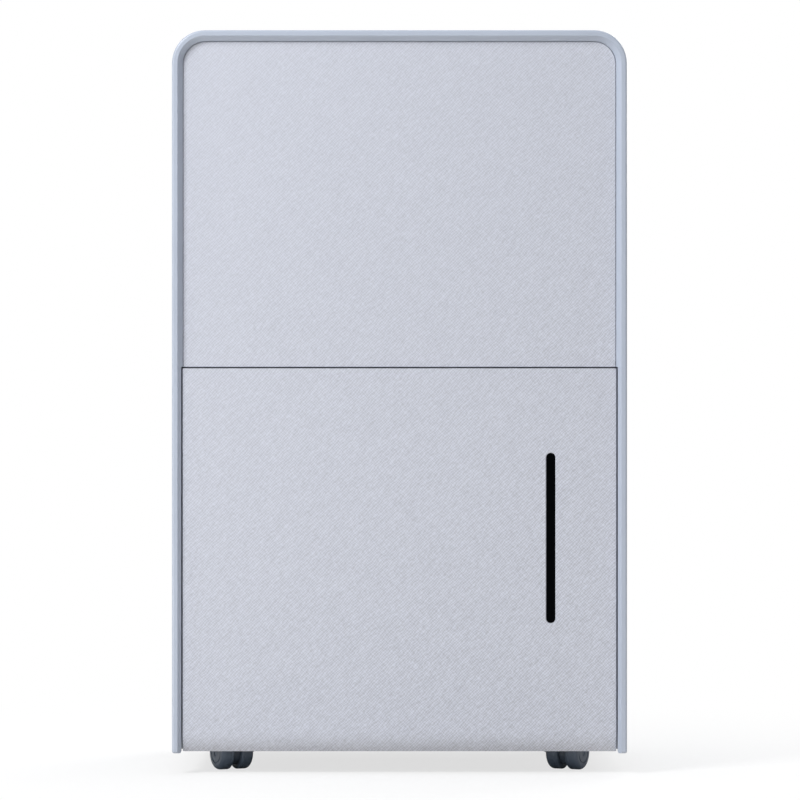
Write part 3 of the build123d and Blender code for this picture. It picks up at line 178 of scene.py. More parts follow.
# ------------------------------------------------------------------ finishes
@dataclass(frozen=True)
class Finish:
    """A finish with one base colour. Each kind of surface adds its own pattern."""

    name: str
    colour: str
    roughness: float = 0.5

    def material(self) -> bpy.types.Material:
        """The finish's material, made once.

        Returns:
            The material.
        """
        made = bpy.data.materials.get(self.name)
        if made:
            return made
        made = bpy.data.materials.new(self.name)
        made.use_nodes = True
        made.diffuse_color = linear(self.colour)
        tree = made.node_tree
        tree.nodes.clear()
        shader = add(
            tree,
            "ShaderNodeBsdfPrincipled",
            {"Base Color": linear(self.colour), "Roughness": self.roughness, "IOR": 1.5},
        )
        add(tree, "ShaderNodeOutputMaterial", links={"Surface": (shader, "BSDF")})
        where = add(tree, "ShaderNodeTexCoord")
        self.pattern(tree, shader, where)
        return made

    def pattern(
        self, tree: bpy.types.NodeTree, shader: bpy.types.Node, where: bpy.types.Node
    ) -> None:
        """Adds the surface's own pattern. A plain finish has none.

        Args:
            tree: the material's node tree.
            shader: its Principled shader.
            where: its texture coordinates.
        """


@dataclass(frozen=True)
class LinenFilm(Finish):
    """ABS panel under a film embossed with crossed diagonal threads, painted pale silver-blue.

    The eye sees a fine diagonal weave that shimmers slightly, a little stronger low on the right.
    """

    thread_mm: float = 1.9
    stroke_mm: float = 6.0
    waver: float = 5.5
    contrast: float = 0.43

    def pattern(
        self, tree: bpy.types.NodeTree, shader: bpy.types.Node, where: bpy.types.Node
    ) -> None:
        """Two sets of threads at 45 degrees each way, mottled a little.

        Args:
            tree: the material's node tree.
            shader: its Principled shader.
            where: its texture coordinates.
        """
        sets = []
        for turn, shift in ((45.0, 0.0), (-45.0, 3.7)):
            place = add(
                tree,
                "ShaderNodeMapping",
                {
                    "Location": (shift, 0.0, 0.0),
                    "Rotation": (0.0, math.radians(turn), 0.0),
                    "Scale": (self.stroke_mm * MM, 0.05, self.thread_mm * MM),
                },
                {"Vector": (where, "Object")},
                vector_type="TEXTURE",
            )
            thread = add(
                tree,
                "ShaderNodeTexWave",
                {
                    "Scale": WAVE_PERIOD,
                    "Distortion": self.waver,
                    "Detail": 1.0,
                    "Detail Scale": 1.0 / WAVE_PERIOD,
                },
                {"Vector": (place, "Vector")},
                wave_type="BANDS",
                bands_direction="Z",
                wave_profile="SIN",
            )
            sets.append(thread)
        both = add(
            tree,
            "ShaderNodeMath",
            {1: 0.6},
            {0: (sets[0], "Fac"), 2: (sets[1], "Fac")},
            operation="MULTIPLY_ADD",
        )
        crossed = add(
            tree,
            "ShaderNodeMapRange",
            {"From Min": 0.0, "From Max": 1.6, "To Min": 0.0, "To Max": 1.0},
            {"Value": (both, "Value")},
        )
        apart = add(tree, "ShaderNodeSeparateXYZ", links={"Vector": (where, "Object")})
        # The embossing is worn in unevenly: it is deepest low on the right.
        low = add(
            tree,
            "ShaderNodeMath",
            {2: 0.62},
            {0: (apart, "X"), 1: (apart, "Z")},
            operation="SUBTRACT",
        )
        strength = add(
            tree,
            "ShaderNodeMapRange",
            {
                "From Min": -0.75,
                "From Max": 0.1,
                "To Min": self.contrast * 0.45,
                "To Max": self.contrast,
            },
            {"Value": (low, "Value")},
        )
        centred = add(tree, "ShaderNodeMath", {1: 0.5}, {0: (crossed, "Result")}, operation="SUBTRACT")
        swing = add(
            tree,
            "ShaderNodeMath",
            {2: 1.0},
            {0: (centred, "Value"), 1: (strength, "Result")},
            operation="MULTIPLY_ADD",
        )
        tint = add(
            tree,
            "ShaderNodeVectorMath",
            {0: linear(self.colour)[:3]},
            {"Scale": (swing, "Value")},
            operation="SCALE",
        )
        tree.links.new(tint.outputs["Vector"], shader.inputs["Base Color"])
        rough = add(
            tree,
            "ShaderNodeMapRange",
            {"To Min": self.roughness + 0.05, "To Max": self.roughness - 0.05},
            {"Value": (crossed, "Result")},
        )
        tree.links.new(rough.outputs["Result"], shader.inputs["Roughness"])
        bump = add(
            tree,
            "ShaderNodeBump",
            {"Strength": 0.25, "Distance": 0.05 * MM},
            {"Height": (crossed, "Result")},
        )
        tree.links.new(bump.outputs["Normal"], shader.inputs["Normal"])


@dataclass(frozen=True)
class GrainedPlastic(Finish):
    """Injection-moulded plastic with a spark-eroded grain: tiny pits and a barely mottled colour."""

    grain_mm: float = 0.7
    depth_mm: float = 0.03
    mottle: float = 0.03

    def pattern(
        self, tree: bpy.types.NodeTree, shader: bpy.types.Node, where: bpy.types.Node
    ) -> None:
        """Pits from a fine noise, cloudy colour from a coarse one.

        Args:
            tree: the material's node tree.
            shader: its Principled shader.
            where: its texture coordinates.
        """
        pits = add(
            tree,
            "ShaderNodeTexNoise",
            {"Scale": per_metre(self.grain_mm), "Detail": 2.0, "Roughness": 0.55},
            {"Vector": (where, "Object")},
        )
        clouds = add(
            tree,
            "ShaderNodeTexNoise",
            {"Scale": per_metre(45.0), "Detail": 3.0},
            {"Vector": (where, "Object")},
        )
        both = add(tree, "ShaderNodeMath", links={0: (pits, "Fac"), 1: (clouds, "Fac")}, operation="ADD")
        swing = add(
            tree,
            "ShaderNodeMapRange",
            {"From Min": 0.6, "From Max": 1.4, "To Min": 1.0 - self.mottle, "To Max": 1.0 + self.mottle},
            {"Value": (both, "Value")},
        )
        tint = add(
            tree,
            "ShaderNodeVectorMath",
            {0: linear(self.colour)[:3]},
            {"Scale": (swing, "Result")},
            operation="SCALE",
        )
        tree.links.new(tint.outputs["Vector"], shader.inputs["Base Color"])
        rough = add(
            tree,
            "ShaderNodeMapRange",
            {"To Min": self.roughness - 0.06, "To Max": self.roughness + 0.06},
            {"Value": (pits, "Fac")},
        )
        tree.links.new(rough.outputs["Result"], shader.inputs["Roughness"])
        bump = add(
            tree,
            "ShaderNodeBump",
            {"Strength": 0.35, "Distance": self.depth_mm * MM},
            {"Height": (pits, "Fac")},
        )
        tree.links.new(bump.outputs["Normal"], shader.inputs["Normal"])


@dataclass(frozen=True)
class SatinLacquer(Finish):
    """Sprayed satin lacquer over ABS: smooth, with the faint orange peel that a spray gun leaves."""

    peel_mm: float = 2.2
    coat: float = 0.25

    def pattern(
        self, tree: bpy.types.NodeTree, shader: bpy.types.Node, where: bpy.types.Node
    ) -> None:
        """Soft orange peel in the bump and a slow drift in the colour.

        Args:
            tree: the material's node tree.
            shader: its Principled shader.
            where: its texture coordinates.
        """
        shader.inputs["Coat Weight"].default_value = self.coat
        shader.inputs["Coat Roughness"].default_value = 0.22
        peel = add(
            tree,
            "ShaderNodeTexNoise",
            {"Scale": per_metre(self.peel_mm), "Detail": 1.0},
            {"Vector": (where, "Object")},
        )
        drift = add(
            tree,
            "ShaderNodeTexNoise",
            {"Scale": per_metre(90.0), "Detail": 2.0},
            {"Vector": (where, "Object")},
        )
        swing = add(
            tree,
            "ShaderNodeMapRange",
            {"From Min": 0.3, "From Max": 0.7, "To Min": 0.985, "To Max": 1.015},
            {"Value": (drift, "Fac")},
        )
        tint = add(
            tree,
            "ShaderNodeVectorMath",
            {0: linear(self.colour)[:3]},
            {"Scale": (swing, "Result")},
            operation="SCALE",
        )
        tree.links.new(tint.outputs["Vector"], shader.inputs["Base Color"])
        bump = add(
            tree,
            "ShaderNodeBump",
            {"Strength": 0.12, "Distance": 0.05 * MM},
            {"Height": (peel, "Fac")},
        )
        tree.links.new(bump.outputs["Normal"], shader.inputs["Normal"])


@dataclass(frozen=True)
class ClearPlastic(Finish):
    """Clear or frosted moulded plastic, tinted by its colour and lightly scuffed."""

    through: float = 0.6
    gloss: float = 0.5
    scuff_mm: float = 6.0

    def pattern(
        self, tree: bpy.types.NodeTree, shader: bpy.types.Node, where: bpy.types.Node
    ) -> None:
        """Light passes through, and scuffs vary the gloss.

        Args:
            tree: the material's node tree.
            shader: its Principled shader.
            where: its texture coordinates.
        """
        shader.inputs["Transmission Weight"].default_value = self.through
        shader.inputs["Specular IOR Level"].default_value = self.gloss
        shader.inputs["IOR"].default_value = 1.49
        scuffs = add(
            tree,
            "ShaderNodeTexNoise",
            {"Scale": per_metre(self.scuff_mm), "Detail": 4.0},
            {"Vector": (where, "Object")},
        )
        rough = add(
            tree,
            "ShaderNodeMapRange",
            {
                "From Min": 0.35,
                "From Max": 0.7,
                "To Min": self.roughness * 0.8,
                "To Max": self.roughness * 1.3,
            },
            {"Value": (scuffs, "Fac")},
        )
        tree.links.new(rough.outputs["Result"], shader.inputs["Roughness"])


@dataclass(frozen=True)
class DrawnMetal(Finish):
    """Bare or plated metal with fine drawing or rolling lines along one axis."""

    line_mm: float = 0.6
    along: Point = (60.0, 1.0, 1.0)
    tarnish: float = 0.08

    def pattern(
        self, tree: bpy.types.NodeTree, shader: bpy.types.Node, where: bpy.types.Node
    ) -> None:
        """Stretched lines in the gloss, and patches of tarnish in the colour.

        Args:
            tree: the material's node tree.
            shader: its Principled shader.
            where: its texture coordinates.
        """
        shader.inputs["Metallic"].default_value = 1.0
        place = add(
            tree,
            "ShaderNodeMapping",
            {"Scale": tuple(self.line_mm * MM * a for a in self.along)},
            {"Vector": (where, "Object")},
            vector_type="TEXTURE",
        )
        lines = add(
            tree, "ShaderNodeTexNoise", {"Scale": 1.0, "Detail": 2.0}, {"Vector": (place, "Vector")}
        )
        patches = add(
            tree,
            "ShaderNodeTexNoise",
            {"Scale": per_metre(14.0), "Detail": 3.0},
            {"Vector": (where, "Object")},
        )
        swing = add(
            tree,
            "ShaderNodeMapRange",
            {"From Min": 0.35, "From Max": 0.65, "To Min": 1.0 - self.tarnish, "To Max": 1.0},
            {"Value": (patches, "Fac")},
        )
        tint = add(
            tree,
            "ShaderNodeVectorMath",
            {0: linear(self.colour)[:3]},
            {"Scale": (swing, "Result")},
            operation="SCALE",
        )
        tree.links.new(tint.outputs["Vector"], shader.inputs["Base Color"])
        rough = add(
            tree,
            "ShaderNodeMapRange",
            {
                "From Min": 0.3,
                "From Max": 0.7,
                "To Min": self.roughness - 0.07,
                "To Max": self.roughness + 0.1,
            },
            {"Value": (lines, "Fac")},
        )
        tree.links.new(rough.outputs["Result"], shader.inputs["Roughness"])


@dataclass(frozen=True)
class WovenNet(Finish):
    """Woven nylon filter net: square mesh of thin threads, drawn coarse enough to show."""

    pitch_mm: float = 1.6

    def pattern(
        self, tree: bpy.types.NodeTree, shader: bpy.types.Node, where: bpy.types.Node
    ) -> None:
        """Two sets of thread waves make the mesh in the bump and the opacity.

        Args:
            tree: the material's node tree.
            shader: its Principled shader.
            where: its texture coordinates.
        """
        threads = []
        for direction in ("X", "Z"):
            wave = add(
                tree,
                "ShaderNodeTexWave",
                {"Scale": WAVE_PERIOD * per_metre(self.pitch_mm)},
                {"Vector": (where, "Object")},
                wave_type="BANDS",
                bands_direction=direction,
                wave_profile="SIN",
            )
            threads.append(wave)
        most = add(
            tree,
            "ShaderNodeMath",
            links={0: (threads[0], "Fac"), 1: (threads[1], "Fac")},
            operation="MAXIMUM",
        )
        cover = add(
            tree,
            "ShaderNodeMapRange",
            {"From Min": 0.45, "From Max": 0.6, "To Min": 0.25, "To Max": 1.0},
            {"Value": (most, "Value")},
        )
        tree.links.new(cover.outputs["Result"], shader.inputs["Alpha"])
        bump = add(
            tree,
            "ShaderNodeBump",
            {"Strength": 0.6, "Distance": 0.2 * MM},
            {"Height": (most, "Value")},
        )
        tree.links.new(bump.outputs["Normal"], shader.inputs["Normal"])


@dataclass(frozen=True)
class Glow(Finish):
    """Lit segment of a display: an even coloured glow through a diffuser."""

    power: float = 2.5

    def pattern(
        self, tree: bpy.types.NodeTree, shader: bpy.types.Node, where: bpy.types.Node
    ) -> None:
        """The glow varies a little over the diffuser.

        Args:
            tree: the material's node tree.
            shader: its Principled shader.
            where: its texture coordinates.
        """
        shader.inputs["Emission Color"].default_value = linear(self.colour)
        uneven = add(
            tree,
            "ShaderNodeTexNoise",
            {"Scale": per_metre(2.0)},
            {"Vector": (where, "Object")},
        )
        strength = add(
            tree,
            "ShaderNodeMapRange",
            {"To Min": self.power * 0.85, "To Max": self.power * 1.15},
            {"Value": (uneven, "Fac")},
        )
        tree.links.new(strength.outputs["Result"], shader.inputs["Emission Strength"])


# Pearly, with a fine crossed weave.
PANEL = LinenFilm("linen_embossed_film", "c4c8d4", 0.45)
# Smooth and silky, a little bluer than the panels.
FRAME_LACQUER = SatinLacquer("satin_lacquer_silver_blue", "b4bdcd", 0.36)
# Even, soft shine.
CASE = GrainedPlastic("grained_abs_pale_blue_grey", "bcc3cf", 0.5)
# The same moulding with a finer grain.
GRILLE = GrainedPlastic("grained_abs_grille", "b6bcc8", 0.48, 0.6)
# Dull, greasy-looking grey.
INNER = GrainedPlastic("moulded_polypropylene_grey", "9a9ea5", 0.55, 1.2, 0.04, 0.05)
# Dull black.
DARK = GrainedPlastic("moulded_abs_black", "26292e", 0.5, 0.8)
# Slate, slightly streaked.
FORK = GrainedPlastic("glass_filled_nylon_fork", "4d5867", 0.45, 0.6, 0.02, 0.06)
# Slate, smoother and lighter than the fork.
WHEEL = GrainedPlastic("nylon_wheel_slate", "5d6a7c", 0.42, 0.9, 0.02, 0.06)
# Smooth satin caps.
KEY = GrainedPlastic("satin_key_cap", "a4aab6", 0.35, 0.5, 0.01, 0.02)
# Deep black, sharp reflections.
GLOSS = SatinLacquer("gloss_black_acrylic", "08090b", 0.2, 6.0, 0.0)
# Painted shade: an opaque near-black sheet with almost no shine stands in for the dark inside seen
# through the level window.
PAINTED_SHADE_WINDOW = ClearPlastic("window_black_painted_shade", "030406", 0.3, 0.0, 0.02)
# Dark until the figures light up.
LENS = ClearPlastic("smoked_display_lens", "3a3f46", 0.06, 0.92)
# Milky, lets light through.
TUB = ClearPlastic("frosted_polypropylene", "dfe5ea", 0.5, 0.35)
# White beads, no shine.
FOAM = GrainedPlastic("expanded_polystyrene", "eeeee8", 0.8, 2.6, 0.2, 0.05)
# Bright turned lines.
STEEL = DrawnMetal("turned_steel", "b9babc", 0.3)
# Cool metal with cloudy patches.
ZINC = DrawnMetal("zinc_plated_steel", "c6c8c6", 0.36, 2.0, (1.0, 1.0, 1.0), 0.18)
# Bright, lined across the fins.
FOIL = DrawnMetal("aluminium_fin_foil", "d3d6d9", 0.34, 0.5, (1.0, 1.0, 50.0))
# Warm metal, dulled in places.
COPPER = DrawnMetal("drawn_copper_tube", "c8794f", 0.3, 0.5, (60.0, 1.0, 1.0), 0.22)
# Thick black paint with orange peel.
ENAMEL = SatinLacquer("black_stove_enamel", "121315", 0.32, 1.6, 0.5)
# Glassy green over tracks.
BOARD = GrainedPlastic("green_solder_mask", "1d5a38", 0.35, 0.9, 0.02, 0.12)
# See-through between crossed threads.
NET = WovenNet("woven_nylon_net", "33373c", 0.6)
# Soft black, no shine.
RUBBER = GrainedPlastic("moulded_rubber", "17181a", 0.75, 1.1, 0.05, 0.08)
# Cold white light.
SEGMENTS = Glow("lit_segment_white", "d8f0ff", 0.4, 7.0)
# Matt slate ink.
PRINT_DARK = GrainedPlastic("printed_mark_slate", "3a4048", 0.5, 0.5, 0.0, 0.02)


# ------------------------------------------------------------------ sub-assemblies
class Key(Enum):
    """The push buttons of the control strip."""

    TIMER = "timer"
    FAN = "fan"
    MODE = "mode"
    DOWN = "humidity_down"
    UP = "humidity_up"
    POWER = "power"


def each(finish: Finish, *nodes: str) -> dict[str, Finish]:
    """One finish for several nodes.

    Args:
        finish: what they are all made of.
        *nodes: their names.

    Returns:
        Node name to finish.
    """
    return dict.fromkeys(nodes, finish)


@dataclass
class SubAssembly:
    """Frame nodes that keep their shape and get a finish, and any fine pieces that go with them."""

    finishes: dict[str, Finish] = field(default_factory=dict)

    def build(self) -> None:
        """Dresses every node listed, then adds the sub-assembly's own pieces."""
        for node, finish in self.finishes.items():
            dress(node, finish)
        self.pieces()

    def pieces(self) -> None:
        """Adds the pieces that the frame leaves out. Most sub-assemblies have none."""


@dataclass
class Front(SubAssembly):
    """The lacquered arch, and the two film-covered panels with the level window, whose near-black is
    painted shade.
    """

    finishes: dict[str, Finish] = field(
        default_factory=lambda: {
            "front_frame": FRAME_LACQUER,
            **each(PANEL, "upper_panel", "bucket_front"),
            # the level window's opaque near-black is painted shade for the dark inside seen through it
            "level_window": PAINTED_SHADE_WINDOW,
        }
    )


@dataclass
class Cabinet(SubAssembly):
    """The case's outer shell and the mouldings inside it."""

    finishes: dict[str, Finish] = field(
        default_factory=lambda: {
            **each(CASE, "cabinet_wrap", "back_panel", "top_cover", "handle_cups", "drain_spout"),
            **each(GRILLE, "exhaust_grille", "intake_grille"),
            **each(INNER, "base_tray", "bay_partition", "mid_deck", "drain_pan", "fan_scroll"),
            "case_screws": ZINC,
            "drain_plug": RUBBER,
            "cord_gland": DARK,
        }
    )


@dataclass
class Bucket(SubAssembly):
    """The clear tub and lid, the carry handle, and the float with its sensor."""

    finishes: dict[str, Finish] = field(
        default_factory=lambda: {
            **each(TUB, "bucket_tub", "bucket_lid"),
            **each(DARK, "bucket_handle", "reed_sensor"),
            "float_arm": INNER,
            "float_block": FOAM,
        }
    )


@dataclass
class AirPath(SubAssembly):
    """The filter, the two coils and the fan."""

    finishes: dict[str, Finish] = field(
        default_factory=lambda: {
            **each(DARK, "filter_frame", "fan_impeller"),
            **each(FOIL, "evaporator_fins", "condenser_fins"),
            **each(COPPER, "evaporator_tube", "condenser_tube"),
            "filter_mesh": NET,
            "fan_motor": ZINC,
            "motor_shaft": STEEL,
        }
    )


@dataclass
class CoolingLoop(SubAssembly):
    """The compressor on its feet, the pipes, and the electrical parts."""

    finishes: dict[str, Finish] = field(
        default_factory=lambda: {
            **each(ENAMEL, "compressor", "accumulator"),
            **each(COPPER, "discharge_pipe", "suction_pipe", "capillary_tube"),
            "compressor_grommets": RUBBER,
            "compressor_bolts": ZINC,
            "power_box": DARK,
            "run_capacitor": FOIL,
        }
    )


@dataclass
class Marks:
    """Flat printed or lit marks, drawn on a plate in X and Y and then given a thickness."""

    thickness: float = 0.1
    shape: bmesh.types.BMesh = field(default_factory=bmesh.new)

    def blob(
        self,
        radius: float,
        place: Flat = (0.0, 0.0),
        sides: int = 24,
        stretch: Flat = (1.0, 1.0),
        turn: float = 0.0,
    ) -> list[bmesh.types.BMVert]:
        """One filled round or many-sided mark, its first corner towards +Y.

        Args:
            radius: before it is stretched, in millimetres.
            place: its middle.
            sides: how many corners it has.
            stretch: scale in X and Y.
            turn: degrees, anticlockwise, about the origin.

        Returns:
            Its vertices.
        """
        made = bmesh.ops.create_circle(self.shape, cap_ends=True, segments=sides, radius=radius)["verts"]
        matrix = Matrix.Rotation(math.radians(turn), 4, "Z")
        matrix @= Matrix.Translation((*place, 0.0)) @ Matrix.Diagonal((*stretch, 1.0, 1.0))
        bmesh.ops.transform(self.shape, matrix=matrix, verts=made)
        return made

    def stroke(self, start: Flat, end: Flat, line: float, sides: int = 12) -> None:
        """A bar with rounded ends, or pointed ones when it has six sides.

        Args:
            start: middle of one end.
            end: middle of the other end.
            line: its width.
            sides: corners of the circle that it is drawn out from.
        """
        along = Vector(end) - Vector(start)
        disc = bmesh.ops.create_circle(self.shape, cap_ends=True, segments=sides, radius=line / 2)
        made = disc["verts"]
        for corner in made:
            corner.co.y += math.copysign(along.length / 2, corner.co.y)
        matrix = Matrix.Translation((*((Vector(start) + Vector(end)) / 2), 0.0))
        matrix @= Matrix.Rotation(math.atan2(along.y, along.x) - math.pi / 2, 4, "Z")
        bmesh.ops.transform(self.shape, matrix=matrix, verts=made)

    def ring(self, radius: float, line: float, place: Flat = (0.0, 0.0), gap: float = 0.0) -> None:
        """A ring, open towards +Y where it has a gap.

        Args:
            radius: its outer radius.
            line: the width of its line.
            place: its middle.
            gap: degrees left open.
        """
        cap = self.blob(radius, place, 36)[0].link_faces[0]
        rim = bmesh.ops.inset_region(
            self.shape, faces=[cap], use_boundary=True, use_even_offset=True, thickness=line
        )["faces"]
        bmesh.ops.delete(self.shape, geom=[cap], context="FACES_ONLY")
        middle = Vector((*place, 0.0))
        up = Vector((0.0, 1.0, 0.0))
        cut = [f for f in rim if (f.calc_center_median() - middle).angle(up) < math.radians(gap / 2)]
        bmesh.ops.delete(self.shape, geom=cut, context="FACES")

    def plate(self, width: float, depth: float, corner: float) -> None:
        """A filled rectangle with round corners, centred on the origin.

        Args:
            width: its size in X, in millimetres.
            depth: its size in Y.
            corner: the radius of its corners.
        """
        made = bmesh.ops.create_grid(self.shape, x_segments=1, y_segments=1, size=0.5)["verts"]
        bmesh.ops.scale(self.shape, vec=(width, depth, 1.0), verts=made)
        bmesh.ops.bevel(
            self.shape,
            geom=made,
            offset=corner,
            affect="VERTICES",
            segments=6,
            profile=0.5,
            material=-1,
        )

    def laid(self, name: str, place: Point, finish: Finish, body: str) -> bpy.types.Object:
        """Gives the marks their thickness and lays them down.

        Args:
            name: the piece's name.
            place: where their origin goes, in metres. They rise from there.
            finish: what they are made of.
            body: the frame body that they ride on.

        Returns:
            The new piece.
        """
        bmesh.ops.remove_doubles(self.shape, verts=self.shape.verts, dist=1e-4)
        bmesh.ops.solidify(self.shape, geom=self.shape.faces[:], thickness=self.thickness)
        lowest = min(corner.co.z for corner in self.shape.verts)
        bmesh.ops.translate(self.shape, vec=(0.0, 0.0, -lowest), verts=self.shape.verts)
        matrix = Matrix.Translation(place) @ Matrix.Scale(MM, 4)
        bmesh.ops.transform(self.shape, matrix=matrix, verts=self.shape.verts)
        return finished_piece(name, self.shape, finish, body)


@dataclass
class KeyMark:
    """The plain sign printed on one push button. Sizes are in millimetres."""

    key: Key
    line: float = 0.75
    reach: float = 3.6
    print_thickness: float = 0.08
    print_sunk: float = 0.03
    ring_drop: float = 0.4
    ring_gap: float = 70.0
    bar_foot: float = 0.3
    triangle_drop: float = 0.5
    drop_share: float = 0.68
    drop_middle: float = -1.1
    hub_radius: float = 0.65
    blade_reach: float = 2.5
    blade_stretch: Flat = (1.15, 1.5)
    minute_hand: float = 1.9
    hour_hand: Flat = (0.75, 1.5)

    def power(self, marks: Marks) -> None:
        """An open ring with a bar in its gap."""
        marks.ring(self.reach, self.line, (0.0, -self.ring_drop), self.ring_gap)
        marks.stroke((0.0, self.bar_foot), (0.0, self.reach), self.line)

    def up(self, marks: Marks) -> None:
        """A triangle that points away from the user."""
        marks.blob(self.reach, (0.0, -self.triangle_drop), 3)

    def down(self, marks: Marks) -> None:
        """A triangle that points towards the user."""
        marks.blob(self.reach, (0.0, -self.triangle_drop), 3, turn=180.0)

    def drop(self, marks: Marks) -> None:
        """A drop of water: a disc whose upper half is drawn up to a point.

        Args:
            marks: what it is drawn on.
        """
        radius = self.reach * self.drop_share
        for corner in marks.blob(radius, (0.0, self.drop_middle)):
            if corner.co.y > self.drop_middle:
                corner.co.y = self.drop_middle + 2.0 * (radius - abs(corner.co.x))

    def blades(self, marks: Marks) -> None:
        """Three fan blades round a hub.

        Args:
            marks: what it is drawn on.
        """
        marks.blob(self.hub_radius)
        for turn in (0.0, 120.0, 240.0):
            marks.blob(1.0, (0.0, self.blade_reach), 20, self.blade_stretch, turn)

    def clock(self, marks: Marks) -> None:
        """A clock face with two hands.

        Args:
            marks: what it is drawn on.
        """
        hand = self.line * 0.8
        start, end = self.hour_hand
        marks.ring(self.reach, self.line * 0.85)
        marks.stroke((0.0, 0.0), (0.0, self.minute_hand), hand)
        marks.stroke((start, 0.0), (end, 0.0), hand)

    def build(self) -> None:
        """Draws the sign and lays it on its button's cap."""
        signs = {
            Key.POWER: self.power,
            Key.UP: self.up,
            Key.DOWN: self.down,
            Key.MODE: self.drop,
            Key.FAN: self.blades,
            Key.TIMER: self.clock,
        }
        marks = Marks(self.print_thickness)
        signs[self.key](marks)
        low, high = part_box(f"{self.key.value}_button")
        place = ((low.x + high.x) / 2, (low.y + high.y) / 2, high.z - self.print_sunk * MM)
        marks.laid(f"mark_{self.key.value}", place, PRINT_DARK, f"{self.key.value}_key")


@dataclass
class HumidityDisplay:
    """Two lit seven-segment figures and a percent sign on a dark mask, under the smoked lens.

    Sizes are in millimetres.
    """

    figures: str = "50"
    height: float = 10.0
    width: float = 5.4
    line: float = 1.1
    pitch: float = 8.4
    first_x: float = -9.2
    mask_width: float = 37.0
    mask_depth: float = 15.0
    mask_corner: float = 1.5
    mask_thickness: float = 0.3
    lit_thickness: float = 0.15
    segment_sides: int = 6
    sign_ring: float = 1.3
    sign_line: float = 0.5

    def segments(self) -> dict[str, tuple[Flat, Flat]]:
        """The ends of each of the seven segments, round the figure's middle.

        Returns:
            Segment letter to its two ends.
        """
        x, y, gap = self.width / 2, self.height / 2, self.line * 0.62
        return {
            "a": ((-x + gap, y), (x - gap, y)),
            "b": ((x, gap), (x, y - gap)),
            "c": ((x, -y + gap), (x, -gap)),
            "d": ((-x + gap, -y), (x - gap, -y)),
            "e": ((-x, -y + gap), (-x, -gap)),
            "f": ((-x, gap), (-x, y - gap)),
            "g": ((-x + gap, 0.0), (x - gap, 0.0)),
        }

    def percent(self, marks: Marks, middle: float) -> None:
        """Two small rings and a slanted bar.

        Args:
            marks: what they are drawn on.
            middle: the sign's X.
        """
        marks.ring(self.sign_ring, self.sign_line, (middle - 1.5, 3.2))
        marks.ring(self.sign_ring, self.sign_line, (middle + 1.9, -0.4))
        marks.stroke((middle - 1.6, -0.9), (middle + 2.0, 3.7), self.sign_line + 0.1)

    def build(self) -> None:
        """Lays the mask on the figures' module, and the lit segments on the mask."""
        lit_by_figure = {"5": "afgcd", "0": "abcdef"}
        low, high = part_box("display_window")
        middle_x, middle_y = (low.x + high.x) / 2, (low.y + high.y) / 2
        module_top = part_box("control_board")[1].z
        mask = Marks(self.mask_thickness)
        mask.plate(self.mask_width, self.mask_depth, self.mask_corner)
        mask.laid("display_mask", (middle_x, middle_y, module_top), DARK, "case")
        lit = Marks(self.lit_thickness)
        for place, figure in enumerate(self.figures):
            shift = self.first_x + place * self.pitch
            for name in lit_by_figure[figure]:
                (x0, y0), (x1, y1) = self.segments()[name]
                lit.stroke((x0 + shift, y0), (x1 + shift, y1), self.line, self.segment_sides)
        self.percent(lit, self.first_x + len(self.figures) * self.pitch - 0.4)
        place = (middle_x, middle_y, module_top + self.mask_thickness * MM)
        lit.laid("display_figures", place, SEGMENTS, "case")


@dataclass
class Controls(SubAssembly):
    """The gloss strip with its lens, board and buttons, the lit figures, and the buttons' signs."""

    finishes: dict[str, Finish] = field(
        default_factory=lambda: {
            "control_fascia": GLOSS,
            "display_window": LENS,
            "control_board": BOARD,
            **each(KEY, *(f"{key.value}_button" for key in Key)),
        }
    )

    def pieces(self) -> None:
        """Adds the display and the signs."""
        HumidityDisplay().build()
        for key in Key:
            KeyMark(key).build()


